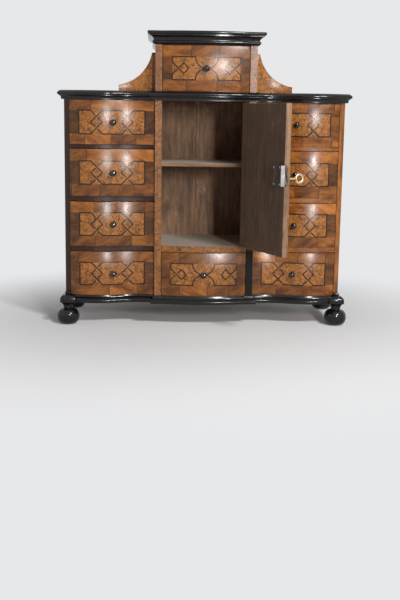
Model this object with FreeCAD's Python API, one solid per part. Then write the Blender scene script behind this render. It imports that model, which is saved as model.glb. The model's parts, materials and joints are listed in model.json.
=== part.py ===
"""Serpentine-front table cabinet with drawers, a bow-front cupboard door and a raised centre section.

Millimetres, +Z up, front towards -Y. The pieces are drawn with y = 0 at the front of the divider strips.
They are moved at the end so that the origin lies on the ground under the middle of the whole.
"""

import FreeCAD
import Part
import math
import os

Vector = FreeCAD.Vector

# Carcass
carcass_width = 700.0
inner_depth = 240.0
side_thickness = 13.0
divider_thickness = 17.0
cupboard_width = 216.0
back_thickness = 8.0
back_joint_gap = 0.5
back_joints = (-190.0, -14.0, 165.0)
board_setback = 0.8

# Heights from the ground up
base_bottom = 56.0
base_height = 21.0
bottom_row = 111.5
third_row = 112.5
second_row = 117.5
top_row = 109.0
lower_rail = 13.0
middle_rail = 13.0
upper_rail_height = 10.0
floor_thickness = 16.0
cornice_height = 22.0
shelf_bottom = 400.0
shelf_thickness = 10.0
shelf_front = 42.0
shelf_groove = 4.0
shelf_round = 3.0

# Serpentine front of the outer bays: depths behind the strips, places and radius as shares of a bay's width
trough_share = 0.203
trough_depth = 22.0
crest_share = 0.694
crest_depth = 4.0
crest_radius_share = 0.708

# Bowed front of the centre
bow_forward = 13.0
bow_end_depth = 2.0

# Raised centre section
upper_row = 111.5
upper_rail_thickness = 19.5
upper_rail_depth = 34.0
upper_top_thickness = 12.0
upper_back_thickness = 8.0

# Mouldings: how far each stands out, and its section from the top down as shares of reach and height
base_reach = 11.7
cornice_reach = 16.5
upper_cornice_reach = 20.0
base_outline = [
    (0.17, 1.0), (0.17, 0.93), (0.27, 0.69), (0.6, 0.55), (0.73, 0.55), (0.73, 0.48),
    (0.92, 0.42), (1.0, 0.3), (0.92, 0.18), (0.73, 0.12), (0.73, 0.0),
]
cornice_outline = [
    (0.48, 1.0), (0.82, 0.855), (0.96, 0.77), (1.0, 0.66), (0.96, 0.545), (0.85, 0.5),
    (0.76, 0.5), (0.76, 0.43), (0.55, 0.355), (0.42, 0.18), (0.42, 0.0),
]
upper_cornice_outline = [
    (0.85, 1.0), (0.96, 0.95), (1.0, 0.86), (0.96, 0.77), (0.78, 0.745), (0.73, 0.65), (0.62, 0.59),
    (0.4, 0.505), (0.26, 0.4), (0.225, 0.3), (0.3, 0.3), (0.35, 0.19), (0.3, 0.095), (0.15, 0.0),
]

# Scroll brackets
scroll_width = 90.0
scroll_height = 93.0
scroll_tip = 8.5
scroll_foot = 15.0
scroll_mid_x = 32.0
scroll_mid_z = 45.5
scroll_setback = 8.0
scroll_thickness = 14.0

# Corner blocks and ball feet
block_centre_inset = 6.5
block_front_inset = 15.0
block_rear_inset = 19.0
block_neck = 11.0
block_flare = 17.0
block_band = 19.0
block_bead = 6.0
block_bottom = 44.0
block_flare_top = 57.0
block_band_top = 66.0
block_dome_top = 76.5
block_top = 84.0
foot_radius = 28.0
foot_pad = 14.0
foot_shoulder = 41.0
foot_belly = [(0.82, 0.12), (1.0, 0.35), (1.0, 0.65), (0.82, 0.88)]
spigot_radius = 7.0
spigot_length = 10.0
spigot_clearance = 0.1

# Drawers
reveal = 1.0
running_gap = 0.3
top_reveal = 1.2
front_back_y = 36.0
drawer_side = 8.0
drawer_bottom = 5.0
drawer_bottom_lift = 6.0
drawer_rear_gap = 9.0
drawer_side_drop = 14.0
drawer_back_drop = 10.0
drawer_box_inset = 0.5
left_drawers_out = 10.0

# Drawer knobs
knob_radius = 7.5
knob_neck = 3.2
knob_standoff = 5.0
knob_head = 12.0
knob_widest = 0.4
knob_tip = 0.5
knob_tenon = 14.0
knob_hole_clearance = 0.1
knob_towards_strip = 4.0

# Cupboard door
door_open = 113.0
door_edge = 15.0
door_bottom_gap = 1.5
door_top_gap = 4.0
door_hinge_gap = 2.0
door_free_gap = 1.5
door_cleat = 22.0

# Butt hinges
hinge_height = 42.0
hinge_inset = 62.0
hinge_leaf = 0.9
hinge_leaf_reach = 13.0
hinge_barrel = 3.0
hinge_clear = 0.2
pin_radius = 1.25
pin_running_gap = 0.05
knuckle_gap = 0.3

# Lock, bolt, key and escutcheon
lock_below_key = 16.0
lock_height = 48.0
lock_width = 38.0
lock_depth = 9.0
lock_plate = 2.0
lock_plate_bite = 9.0
lock_wall = 1.5
bolt_height = 12.0
bolt_length = 26.0
bolt_clearance = 0.1
bolt_above_key = 10.0
mortise_clearance = 1.2
key_height = 387.0
key_inset = 24.0
key_shank = 2.5
key_running_gap = 0.08
key_reach = 24.0
key_bow_radius = 9.5
key_bow_wire = 3.0
key_collar = 4.5
key_collar_length = 3.0
key_bit_height = 8.0
key_bit_width = 5.0
key_bit_thickness = 2.0
escutcheon_radius = 8.0
escutcheon_length = 34.0
escutcheon_thickness = 1.2
escutcheon_clearance = 0.3

# Levels and places that follow
half_width = carcass_width / 2
bay_outer = half_width - side_thickness
strip_inner = cupboard_width / 2
strip_outer = strip_inner + divider_thickness
bay_width = bay_outer - strip_outer
back_y = inner_depth + back_thickness
base_top = base_bottom + base_height
row_floors = {4: base_top}
row_floors[3] = row_floors[4] + bottom_row + lower_rail
row_floors[2] = row_floors[3] + third_row + middle_rail
row_floors[1] = row_floors[2] + second_row + upper_rail_height
row_heights = {1: top_row, 2: second_row, 3: third_row, 4: bottom_row}
carcass_top = row_floors[1] + top_row
cornice_top = carcass_top + cornice_height
floor_bottom = base_top + bottom_row
floor_top = floor_bottom + floor_thickness
upper_floor = cornice_top
upper_ceiling = upper_floor + upper_row
upper_rail_top = upper_ceiling + upper_rail_thickness
upper_top = upper_rail_top + upper_top_thickness

# Arcs of the serpentine: a hollow beside the strip, then a swell, tangent to each other
trough_x = strip_outer + trough_share * bay_width
crest_x = strip_outer + crest_share * bay_width
crest_radius = crest_radius_share * bay_width
serpentine_rise = trough_depth - crest_depth
radius_sum = ((crest_x - trough_x) ** 2 + serpentine_rise ** 2) / (2 * serpentine_rise)
trough_radius = radius_sum - crest_radius
trough_centre = Vector(trough_x, trough_depth - trough_radius, 0)
crest_centre = Vector(crest_x, crest_depth + crest_radius, 0)

# Arc of the bow
bow_rise = bow_forward + bow_end_depth
bow_radius = (strip_inner ** 2 + bow_rise ** 2) / (2 * bow_rise)
bow_centre = Vector(0, bow_radius - bow_forward, 0)


def box(x0, x1, y0, y1, z0, z1):
    """A board between two corners."""
    return Part.makeBox(x1 - x0, y1 - y0, z1 - z0, Vector(x0, y0, z0))


def mirrored(shape):
    """The same piece on the other side of the middle."""
    return shape.mirror(Vector(0, 0, 0), Vector(1, 0, 0))


def both_sides(shape):
    """The piece and its mirror image."""
    return [shape, mirrored(shape)]


def polyline(points):
    """Straight edges through points."""
    return [Part.LineSegment(a, b).toShape() for a, b in zip(points, points[1:])]


def prism(edges, z0, z1):
    """A flat outline drawn at z = 0, raised between two heights."""
    face = Part.Face(Part.Wire(Part.__sortEdges__(edges)))
    face.translate(Vector(0, 0, z0))
    return face.extrude(Vector(0, 0, z1 - z0))


def joined(solids):
    """One solid from several that meet."""
    whole = solids[0].fuse(solids[1:])
    return whole.removeSplitter()


def bay_turn(forward):
    """Where the hollow meets the swell, on a curve parallel to the front."""
    share = (trough_radius - forward) / radius_sum
    return trough_centre + (crest_centre - trough_centre) * share


def bay_y(x, forward=0.0):
    """Depth of the serpentine front at x, on a parallel curve if forward isn't 0."""
    if x <= bay_turn(forward).x:
        radius = trough_radius - forward
        return trough_centre.y + math.sqrt(radius ** 2 - (x - trough_centre.x) ** 2)
    radius = crest_radius + forward
    return crest_centre.y - math.sqrt(radius ** 2 - (x - crest_centre.x) ** 2)


def bow_y(x, forward=0.0):
    """Depth of the bowed front at x, on a parallel curve if forward isn't 0."""
    return bow_centre.y - math.sqrt((bow_radius + forward) ** 2 - x ** 2)


def curve_edge(depth, x0, x1, forward):
    """One arc of a front curve from x0 to x1."""
    middle = (x0 + x1) / 2
    points = [Vector(x, depth(x, forward), 0) for x in (x0, middle, x1)]
    return Part.Arc(*points).toShape()


def bay_edges(x0, x1, forward=0.0):
    """The serpentine front from x0 to x1, as one or two arcs."""
    turn = bay_turn(forward).x
    stops = [x0] + [x for x in (turn,) if x0 < x < x1] + [x1]
    return [curve_edge(bay_y, a, b, forward) for a, b in zip(stops, stops[1:])]


def bay_board(x0, x1, y_back, z0, z1, forward=0.0):
    """A board with the serpentine front, in the right bay."""
    ends = polyline([
        Vector(x1, bay_y(x1, forward), 0),
        Vector(x1, y_back, 0),
        Vector(x0, y_back, 0),
        Vector(x0, bay_y(x0, forward), 0),
    ])
    return prism(bay_edges(x0, x1, forward) + ends, z0, z1)


def bow_board(half, y_back, z0, z1, forward=0.0):
    """A board with the bowed front, in the centre."""
    ends = polyline([
        Vector(half, bow_y(half, forward), 0),
        Vector(half, y_back, 0),
        Vector(-half, y_back, 0),
        Vector(-half, bow_y(half, forward), 0),
    ])
    return prism([curve_edge(bow_y, -half, half, forward)] + ends, z0, z1)


def case_board(outer, y_back, z0, z1):
    """A board as wide as the lower case, with the whole front outline: bays, strips and bow."""
    strips = box(-strip_outer, strip_outer, 0, y_back, z0, z1)
    strips = strips.cut(box(-strip_inner, strip_inner, 0, y_back, z0, z1))
    pieces = [bow_board(strip_inner, y_back, z0, z1), strips]
    pieces += both_sides(bay_board(strip_outer, outer, y_back, z0, z1))
    return joined(pieces)


def upper_board(z0, z1):
    """A board as wide as the raised centre section, with its whole front outline."""
    strip = box(strip_inner, strip_outer, 0, back_y, z0, z1)
    return joined([bow_board(strip_inner, back_y, z0, z1)] + both_sides(strip))


def scaled_section(outline, reach, bottom, top):
    """A moulding's outline as (reach, height) points in millimetres."""
    return [(share * reach, bottom + height * (top - bottom)) for share, height in outline]


def section_face(section, place):
    """A moulding section, closed along its back, as a flat face through place(reach, height)."""
    outline = section + [(0.0, section[-1][1]), (0.0, section[0][1]), section[0]]
    return Part.Face(Part.makePolygon([place(*point) for point in outline]))


def turned_moulding(section, centre, radius, outward, start, sweep):
    """A moulding bent along an arc: outward is 1 on a swell and -1 in a hollow."""
    face = section_face(section, lambda d, z: Vector(centre.x + radius + outward * d, centre.y, z))
    axis = Vector(0, 0, 1)
    face.rotate(centre, axis, start)
    return face.revolve(centre, axis, sweep)


def angle_at(centre, x, y):
    """Direction in degrees from an arc's centre."""
    return math.degrees(math.atan2(y - centre.y, x - centre.x))


def bay_moulding(section, outer):
    """The moulding along a serpentine bay, from the strip to x = outer."""
    turn = bay_turn(0.0)
    hollow_start = angle_at(trough_centre, turn.x, turn.y)
    hollow_end = angle_at(trough_centre, strip_outer, bay_y(strip_outer))
    swell_start = angle_at(crest_centre, turn.x, turn.y)
    swell_end = angle_at(crest_centre, outer, bay_y(outer))
    hollow_sweep = hollow_end - hollow_start
    swell_sweep = swell_end - swell_start
    hollow = turned_moulding(section, trough_centre, trough_radius, -1, hollow_start, hollow_sweep)
    swell = turned_moulding(section, crest_centre, crest_radius, 1, swell_start, swell_sweep)
    return joined([hollow, swell])


def bow_moulding(section):
    """The moulding along the bow."""
    start = angle_at(bow_centre, -strip_inner, bow_y(strip_inner))
    end = angle_at(bow_centre, strip_inner, bow_y(strip_inner))
    return turned_moulding(section, bow_centre, bow_radius, 1, start, end - start)


def side_moulding(section, x, y0, y1):
    """A straight moulding along the right side, at the wall x."""
    face = section_face(section, lambda d, z: Vector(x + d, y0, z))
    return face.extrude(Vector(0, y1 - y0, 0))


def section_reach(section):
    """How far a moulding stands out."""
    return max(reach for reach, height in section)


def break_moulding(section, x0, x1, y_back):
    """The moulding round a strip from x0 to x1: a front and two mitred returns that run back to y_back."""
    reach = section_reach(section) + 1
    front = section_face(section, lambda d, z: Vector(x0 - reach, -d, z))
    front = front.extrude(Vector(x1 - x0 + 2 * reach, 0, 0))
    depth = Vector(0, y_back + reach, 0)
    left = section_face(section, lambda d, z: Vector(x0 - d, -reach, z)).extrude(depth)
    right = section_face(section, lambda d, z: Vector(x1 + d, -reach, z)).extrude(depth)
    low = section[-1][1]
    high = section[0][1]
    middle = box(x0, x1, -reach, y_back, low, high)
    across = joined([left, middle, right])
    deep = joined([front, box(x0 - reach, x1 + reach, 0, y_back, low, high)])
    return across.common(deep)


def solids_of(shapes):
    """All solids of a list of shapes, each as its own solid."""
    return [solid for shape in shapes for solid in shape.Solids]


def longest(shape):
    """The main solid of a length that a block has cut through."""
    return max(shape.Solids, key=lambda solid: solid.Volume)


def group(shapes):
    """Separate pieces kept in one node."""
    return Part.makeCompound(solids_of(shapes))


def front_mouldings(section, core):
    """The lengths of a moulding round the lower case, front and sides, cut to each other."""
    reach = section_reach(section)
    breaks = break_moulding(section, strip_inner, strip_outer, trough_depth + reach).cut(core).Solids
    centre = bow_moulding(section).cut(breaks + [mirrored(piece) for piece in breaks] + [core])
    past_corner = half_width + 2 * reach
    bay = bay_moulding(section, past_corner).cut(breaks)
    side = side_moulding(section, half_width, -reach, back_y)
    inside = box(0, half_width, -reach, back_y, base_bottom, cornice_top)
    bay = bay.common(joined([side, inside]))
    behind = bay_board(strip_outer, past_corner, back_y, base_bottom, cornice_top)
    side = side.common(behind)
    lengths = [centre]
    for piece in breaks + [bay, side]:
        lengths += both_sides(piece)
    return lengths


def turned(profile, axis_point, axis):
    """A turned piece from (radius, height) points; heights run along the axis."""
    first = (0.0, profile[0][1])
    outline = [first] + profile + [(0.0, profile[-1][1]), first]
    spots = [axis_point + Vector(1, 0, 0) * radius + axis * height for radius, height in outline]
    return Part.Face(Part.makePolygon(spots)).revolve(axis_point, axis, 360)


def ball_foot(x, y):
    """A flattened ball with a flat pad below, a neck and a spigot."""
    top = block_bottom + spigot_length
    profile = [
        (foot_pad, foot_shoulder),
        (block_neck, foot_shoulder),
        (block_neck, block_bottom),
        (spigot_radius, block_bottom),
        (spigot_radius, top),
    ]
    belly = [(share * foot_radius, height * foot_shoulder) for share, height in foot_belly]
    profile = [(foot_pad, 0.0)] + belly + profile
    return turned(profile, Vector(x, y, 0), Vector(0, 0, 1))


def corner_block(x, y, case):
    """A square block: flared below, a band, a domed top and a bead, notched round the case's corner."""
    rise = block_dome_top - block_band_top
    fall = block_band - block_bead
    half = [
        (block_neck, block_bottom),
        (block_flare, block_flare_top),
        (block_band, block_flare_top),
        (block_band, block_band_top),
        (block_bead + 0.85 * fall, block_band_top + 0.5 * rise),
        (block_bead + 0.5 * fall, block_band_top + 0.85 * rise),
        (block_bead, block_dome_top),
        (block_bead, block_top),
    ]
    outline = half + [(-reach, height) for reach, height in reversed(half)] + half[:1]
    views = []
    for across, along in ((Vector(1, 0, 0), Vector(0, 1, 0)), (Vector(0, 1, 0), Vector(1, 0, 0))):
        start = Vector(x, y, 0) - along * 2 * block_band
        spots = [start + across * reach + Vector(0, 0, height) for reach, height in outline]
        views.append(Part.Face(Part.makePolygon(spots)).extrude(along * 4 * block_band))
    block = views[0].common(views[1])
    bore_depth = spigot_length + spigot_clearance
    bore = Part.makeCylinder(spigot_radius + spigot_clearance, bore_depth, Vector(x, y, block_bottom))
    return block.cut(case + [bore])


def drawer_parts(front, half, x_mid, floor, height, knob_x, front_y):
    """A drawer's front with its knob hole, its box and its knob, shut."""
    bottom = floor + running_gap
    top = floor + height - top_reveal
    knob_z = (bottom + top) / 2
    hole = Part.makeCylinder(
        knob_neck + knob_hole_clearance,
        knob_tenon + knob_hole_clearance + 2 * knob_radius,
        Vector(knob_x, front_y - 2 * knob_radius, knob_z),
        Vector(0, 1, 0),
    )
    front = front.cut(hole)
    box_half = half - drawer_box_inset
    inner = box_half - drawer_side
    box_back = inner_depth - drawer_rear_gap
    side_top = top - drawer_side_drop
    sides = [
        box(x_mid - box_half, x_mid - inner, front_back_y, box_back, bottom, side_top),
        box(x_mid + inner, x_mid + box_half, front_back_y, box_back, bottom, side_top),
    ]
    plank_low = bottom + drawer_bottom_lift
    plank_high = plank_low + drawer_bottom
    plank = box(x_mid - inner, x_mid + inner, front_back_y, box_back, plank_low, plank_high)
    rear_top = side_top - drawer_back_drop
    rear = box(x_mid - inner, x_mid + inner, box_back - drawer_side, box_back, plank_high, rear_top)
    profile = [
        (knob_neck, knob_tenon),
        (knob_neck, -knob_standoff),
        (knob_radius, -knob_standoff - knob_widest * knob_head),
        (knob_tip * knob_radius, -knob_standoff - knob_head),
    ]
    knob = turned(profile, Vector(knob_x, front_y, knob_z), Vector(0, 1, 0))
    return {"front": front, "box": group(sides + [plank, rear]), "knob": knob}


def bay_drawer(row):
    """A drawer of the right column."""
    x0 = strip_outer + reveal
    x1 = bay_outer - reveal
    bottom = row_floors[row] + running_gap
    top = row_floors[row] + row_heights[row] - top_reveal
    front = bay_board(x0, x1, front_back_y, bottom, top)
    middle = (x0 + x1) / 2
    half = (x1 - x0) / 2
    knob_x = middle - knob_towards_strip
    return drawer_parts(front, half, middle, row_floors[row], row_heights[row], knob_x, bay_y(knob_x))


def bow_drawer(floor, height):
    """A drawer of the centre."""
    half = strip_inner - reveal
    front = bow_board(half, front_back_y, floor + running_gap, floor + height - top_reveal)
    return drawer_parts(front, half, 0.0, floor, height, 0.0, bow_y(0))


nodes = {}

base_section = scaled_section(base_outline, base_reach, base_bottom, base_top)
cornice_section = scaled_section(cornice_outline, cornice_reach, carcass_top, cornice_top)
upper_section = scaled_section(upper_cornice_outline, upper_cornice_reach, upper_ceiling, upper_top)

# Lower case
nodes["bottom_board"] = case_board(bay_outer, inner_depth, base_bottom, base_top)
nodes["top_board"] = case_board(half_width, back_y, carcass_top, cornice_top)
right_side = bay_board(bay_outer, half_width, back_y, base_bottom, carcass_top)
right_divider = box(strip_inner, strip_outer, 0, inner_depth, base_top, carcass_top)
shelf_top = shelf_bottom + shelf_thickness
shelf_half = strip_inner + shelf_groove
shelf = box(-shelf_half, shelf_half, shelf_front, inner_depth, shelf_bottom, shelf_top)
right_divider = right_divider.cut(shelf)
long_edges = [edge for edge in shelf.Edges if edge.BoundBox.XLength > 1]
front_edges = [edge for edge in long_edges if edge.BoundBox.YMax < shelf_front + 1]
nodes["cupboard_shelf"] = shelf.makeFillet(shelf_round, front_edges)
nodes["cupboard_floor"] = bow_board(strip_inner, inner_depth, floor_bottom, floor_top, -board_setback)
dust_boards = []
for row, rail in ((3, lower_rail), (2, middle_rail), (1, upper_rail_height)):
    low = row_floors[row] - rail
    board = bay_board(strip_outer, bay_outer, inner_depth, low, row_floors[row], -board_setback)
    dust_boards.append(board)
back_stops = [-bay_outer] + list(back_joints) + [bay_outer]
back_boards = []
for x0, x1 in zip(back_stops, back_stops[1:]):
    half_gap = back_joint_gap / 2
    low_x = x0 + (half_gap if x0 in back_joints else 0.0)
    high_x = x1 - (half_gap if x1 in back_joints else 0.0)
    back_boards.append(box(low_x, high_x, inner_depth, back_y, base_bottom, carcass_top))
nodes["back_boards"] = group(back_boards)
nodes["right_side"] = right_side
nodes["left_side"] = mirrored(right_side)
nodes["right_dust_boards"] = group(dust_boards)
nodes["left_dust_boards"] = group([mirrored(board) for board in dust_boards])

# Ebonised base, corner blocks, feet and main cornice
case_solid = case_board(half_width, back_y, base_bottom, base_top)
corner_keep_out = [case_solid, right_side]
corner_x = half_width - block_centre_inset
corner_ys = (block_front_inset, back_y - block_rear_inset)
blocks = [corner_block(corner_x, y, corner_keep_out) for y in corner_ys]
base_lengths = front_mouldings(base_section, case_solid)
block_cutters = blocks + [mirrored(block) for block in blocks]
nodes["base_moulding"] = group([longest(length.cut(block_cutters)) for length in base_lengths])
nodes["corner_blocks"] = group(block_cutters)
feet = []
for y in corner_ys:
    feet += both_sides(ball_foot(corner_x, y))
nodes["ball_feet"] = group(feet)
nodes["main_cornice"] = group(front_mouldings(cornice_section, nodes["top_board"]))

# Raised centre section
upper_side = box(strip_inner, strip_outer, 0, back_y, upper_floor, upper_rail_top)
nodes["upper_sides"] = group(both_sides(upper_side))
nodes["upper_rail"] = bow_board(strip_inner, upper_rail_depth, upper_ceiling, upper_rail_top)
upper_back_y = back_y - upper_back_thickness
nodes["upper_back"] = box(-strip_inner, strip_inner, upper_back_y, back_y, upper_floor, upper_rail_top)
nodes["upper_top"] = upper_board(upper_rail_top, upper_top)
upper_core = upper_board(upper_ceiling, upper_top)
upper_break = break_moulding(upper_section, strip_inner, strip_outer, back_y).cut(upper_core)
upper_breaks = both_sides(upper_break)
upper_bow = bow_moulding(upper_section).cut(upper_breaks + [upper_core])
nodes["upper_cornice"] = group(upper_breaks + [upper_bow])

# Scroll brackets, curved in plan like the bay below and hollowed in outline
scroll_end = strip_outer + scroll_width
scroll_top = upper_floor + scroll_height
outline = polyline([
    Vector(strip_outer, 0, scroll_top),
    Vector(strip_outer, 0, upper_floor),
    Vector(scroll_end, 0, upper_floor),
    Vector(scroll_end, 0, upper_floor + scroll_foot),
])
outline.append(Part.Arc(
    Vector(scroll_end, 0, upper_floor + scroll_foot),
    Vector(strip_outer + scroll_mid_x, 0, upper_floor + scroll_mid_z),
    Vector(strip_outer + scroll_tip, 0, scroll_top),
).toShape())
outline += polyline([Vector(strip_outer + scroll_tip, 0, scroll_top), Vector(strip_outer, 0, scroll_top)])
silhouette = Part.Face(Part.Wire(Part.__sortEdges__(outline))).extrude(Vector(0, back_y, 0))
scroll_front = bay_board(strip_outer, scroll_end, back_y, upper_floor, scroll_top, -scroll_setback)
scroll_back = -scroll_setback - scroll_thickness
scroll_rear = bay_board(strip_outer, scroll_end, back_y, upper_floor, scroll_top, scroll_back)
right_scroll = scroll_front.cut(scroll_rear).common(silhouette).Solids[0]
nodes["right_scroll"] = right_scroll
nodes["left_scroll"] = mirrored(right_scroll)

# Drawers
for row in (1, 2, 3, 4):
    for piece, shape in bay_drawer(row).items():
        nodes[f"drawer_right_{row}_{piece}"] = shape
        pulled = mirrored(shape)
        pulled.translate(Vector(0, -left_drawers_out, 0))
        nodes[f"drawer_left_{row}_{piece}"] = pulled
for place, floor, height in (("bottom", base_top, bottom_row), ("top", upper_floor, upper_row)):
    for piece, shape in bow_drawer(floor, height).items():
        nodes[f"drawer_{place}_centre_{piece}"] = shape

# Cupboard door, drawn shut
door_low = floor_top + door_bottom_gap
door_high = carcass_top - door_top_gap
door_right = strip_inner - door_hinge_gap
door_left = -strip_inner + door_free_gap
door_inner = bow_y(door_right) + door_edge
door_curve = curve_edge(bow_y, door_left, door_right, 0.0)
door_sides = polyline([
    Vector(door_right, bow_y(door_right), 0),
    Vector(door_right, door_inner, 0),
    Vector(door_left, door_inner, 0),
    Vector(door_left, bow_y(door_left), 0),
])
door = prism([door_curve] + door_sides, door_low, door_high)

# Lock on the inner face, with its plate let into the free edge
lock_bottom = key_height - lock_below_key
lock_top = lock_bottom + lock_height
lock_face = door_inner + lock_depth
case_left = door_left + lock_plate
case_right = door_left + lock_width
case_outer = box(case_left, case_right, door_inner, lock_face, lock_bottom, lock_top)
case_inner = box(
    case_left, case_right - lock_wall,
    door_inner, lock_face - lock_wall, lock_bottom + lock_wall, lock_top - lock_wall,
)
plate_front = door_inner - lock_plate_bite
edge_plate = box(door_left, case_left, plate_front, lock_face, lock_bottom, lock_top)
bolt_low = key_height + bolt_above_key
bolt_front = door_inner + bolt_clearance
bolt_thickness = lock_depth - lock_wall - 2 * bolt_clearance
bolt = box(
    door_left, door_left + bolt_length,
    bolt_front, bolt_front + bolt_thickness, bolt_low, bolt_low + bolt_height,
)
bolt_way = box(
    door_left - 1, door_left + bolt_length + 1,
    bolt_front - bolt_clearance, bolt_front + bolt_thickness + bolt_clearance,
    bolt_low - bolt_clearance, bolt_low + bolt_height + bolt_clearance,
)
key_x = door_left + key_inset
key_outer = bow_y(key_x)
key_end = lock_face - lock_wall - key_running_gap
shank_way = Part.makeCylinder(
    key_shank + key_running_gap, key_end - key_outer + 2 * key_reach,
    Vector(key_x, key_outer - 2 * key_reach, key_height), Vector(0, 1, 0),
)
lock_case = joined([case_outer.cut(case_inner), edge_plate]).cut(bolt_way)
door = door.cut([edge_plate, shank_way])
cleat_top = door_low + door_cleat
below = box(-strip_inner, strip_inner, -inner_depth, inner_depth, base_bottom, cleat_top)
cleat = door.common(below)
panel = door.cut(below)

# Key: shank, collar, bit and an open bow
bow_y_mid = key_outer - key_reach - key_bow_radius
shank_start = Vector(key_x, key_outer - key_reach, key_height)
shank = Part.makeCylinder(
    key_shank, key_end - key_outer + key_reach, shank_start, Vector(0, 1, 0)
)
collar = Part.makeCylinder(key_collar, key_collar_length, shank_start, Vector(0, 1, 0))
bow_start = Vector(key_x - key_bow_wire / 2, bow_y_mid, key_height)
key_bow = Part.makeCylinder(key_bow_radius + key_bow_wire, key_bow_wire, bow_start, Vector(1, 0, 0))
bow_hole = Part.makeCylinder(key_bow_radius - key_bow_wire, key_bow_wire, bow_start, Vector(1, 0, 0))
key_bow = key_bow.cut(bow_hole)
bit_y0 = door_inner + key_running_gap + lock_wall
bit = box(
    key_x - key_bit_thickness / 2, key_x + key_bit_thickness / 2,
    bit_y0, bit_y0 + key_bit_width, key_height - key_bit_height, key_height,
)
key = joined([shank, collar, key_bow, bit])

# Escutcheon: a small lozenge on the bowed face
shield_half = escutcheon_length / 2
shield_corner = shield_half - escutcheon_radius
shield_outline = [(0, shield_half)]
shield_outline += [(escutcheon_radius, shield_corner), (escutcheon_radius, -shield_corner)]
shield_outline += [(0, -shield_half)]
shield_outline += [(-escutcheon_radius, -shield_corner), (-escutcheon_radius, shield_corner)]
shield_outline += shield_outline[:1]
shield_spots = [Vector(key_x + x, -inner_depth, key_height + z) for x, z in shield_outline]
shield = Part.Face(Part.makePolygon(shield_spots)).extrude(Vector(0, 2 * inner_depth, 0))
skin_low = key_height - escutcheon_length
skin_high = key_height + escutcheon_length
skin = bow_board(strip_inner, door_inner, skin_low, skin_high, escutcheon_thickness)
skin = skin.cut(bow_board(strip_inner, door_inner + 1, skin_low, skin_high))
hole_start = Vector(key_x, -inner_depth, key_height)
keyhole = Part.makeCylinder(key_shank + escutcheon_clearance, 2 * inner_depth, hole_start, Vector(0, 1, 0))
escutcheon = skin.common(shield).cut(keyhole)

# Butt hinges: leaves in the gap beside the door, knuckles in front of it
hinge_x = strip_inner - door_hinge_gap / 2
hinge_y = -hinge_barrel - hinge_clear
hinge_axis = Vector(hinge_x, hinge_y, 0)
door_leaves = []
frame_leaves = []
third = hinge_height / 3


def barrel(radius, z0, z1):
    """A round length on the hinge axis."""
    return Part.makeCylinder(radius, z1 - z0, Vector(hinge_x, hinge_y, z0))


def relief(z0, z1):
    """Room beside the other leaf's knuckle."""
    reach = hinge_barrel + hinge_clear
    return box(hinge_x - reach, hinge_x + reach, hinge_y - reach, hinge_y + reach, z0, z1)


for low in (door_low + hinge_inset, door_high - hinge_inset - hinge_height):
    high = low + hinge_height
    middle_low = low + third + knuckle_gap
    middle_high = high - third - knuckle_gap
    door_leaf = box(door_right, door_right + hinge_leaf, hinge_y, door_inner - 1, low, high)
    door_leaf = door_leaf.cut([relief(low, middle_low), relief(middle_high, high)])
    door_leaf = joined([door_leaf, barrel(hinge_barrel, middle_low, middle_high)])
    door_leaves.append(door_leaf.cut(barrel(pin_radius + pin_running_gap, low, high)))
    frame_leaf = box(strip_inner - hinge_leaf, strip_inner, hinge_y, hinge_leaf_reach, low, high)
    frame_leaf = frame_leaf.cut(relief(low + third, high - third))
    knuckles = [barrel(hinge_barrel, low, low + third), barrel(hinge_barrel, high - third, high)]
    frame_leaves.append(joined([frame_leaf, barrel(pin_radius, low, high)] + knuckles))

# The left divider has a mortise for the bolt
mortise = box(
    -strip_outer + lock_wall, -strip_inner + 1,
    bolt_front - mortise_clearance, bolt_front + bolt_thickness + mortise_clearance,
    bolt_low - mortise_clearance, bolt_low + bolt_height + mortise_clearance,
)
nodes["right_divider"] = right_divider
nodes["left_divider"] = mirrored(right_divider).cut(mortise)
nodes["hinge_frame_leaves"] = group(frame_leaves)

door_nodes = {
    "door_panel": group([panel, cleat]),
    "door_lock_case": lock_case,
    "door_lock_bolt": bolt,
    "door_key": key,
    "door_escutcheon": escutcheon,
    "hinge_door_leaves": group(door_leaves),
}
for name, shape in door_nodes.items():
    shape.rotate(hinge_axis, Vector(0, 0, 1), door_open)
    nodes[name] = shape

# Put the origin on the ground under the middle, and write one file for each node
whole = Part.makeCompound(list(nodes.values())).BoundBox
to_origin = Vector(0, -(whole.YMin + whole.YMax) / 2, 0)
os.makedirs("parts", exist_ok=True)
for name, shape in nodes.items():
    shape.translate(to_origin)
    shape.exportStep(f"parts/{name}.step")
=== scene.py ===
"""The looks of a serpentine-front table cabinet: veneers, black stringing, mouldings, turnings and ironwork.

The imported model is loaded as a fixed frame, in metres. Each operator models one group of pieces at its place
on that frame, or gives the frame's own boards their finishes.
"""

import json
import math

import bmesh
import bpy
from mathutils import Matrix, Vector


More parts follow.
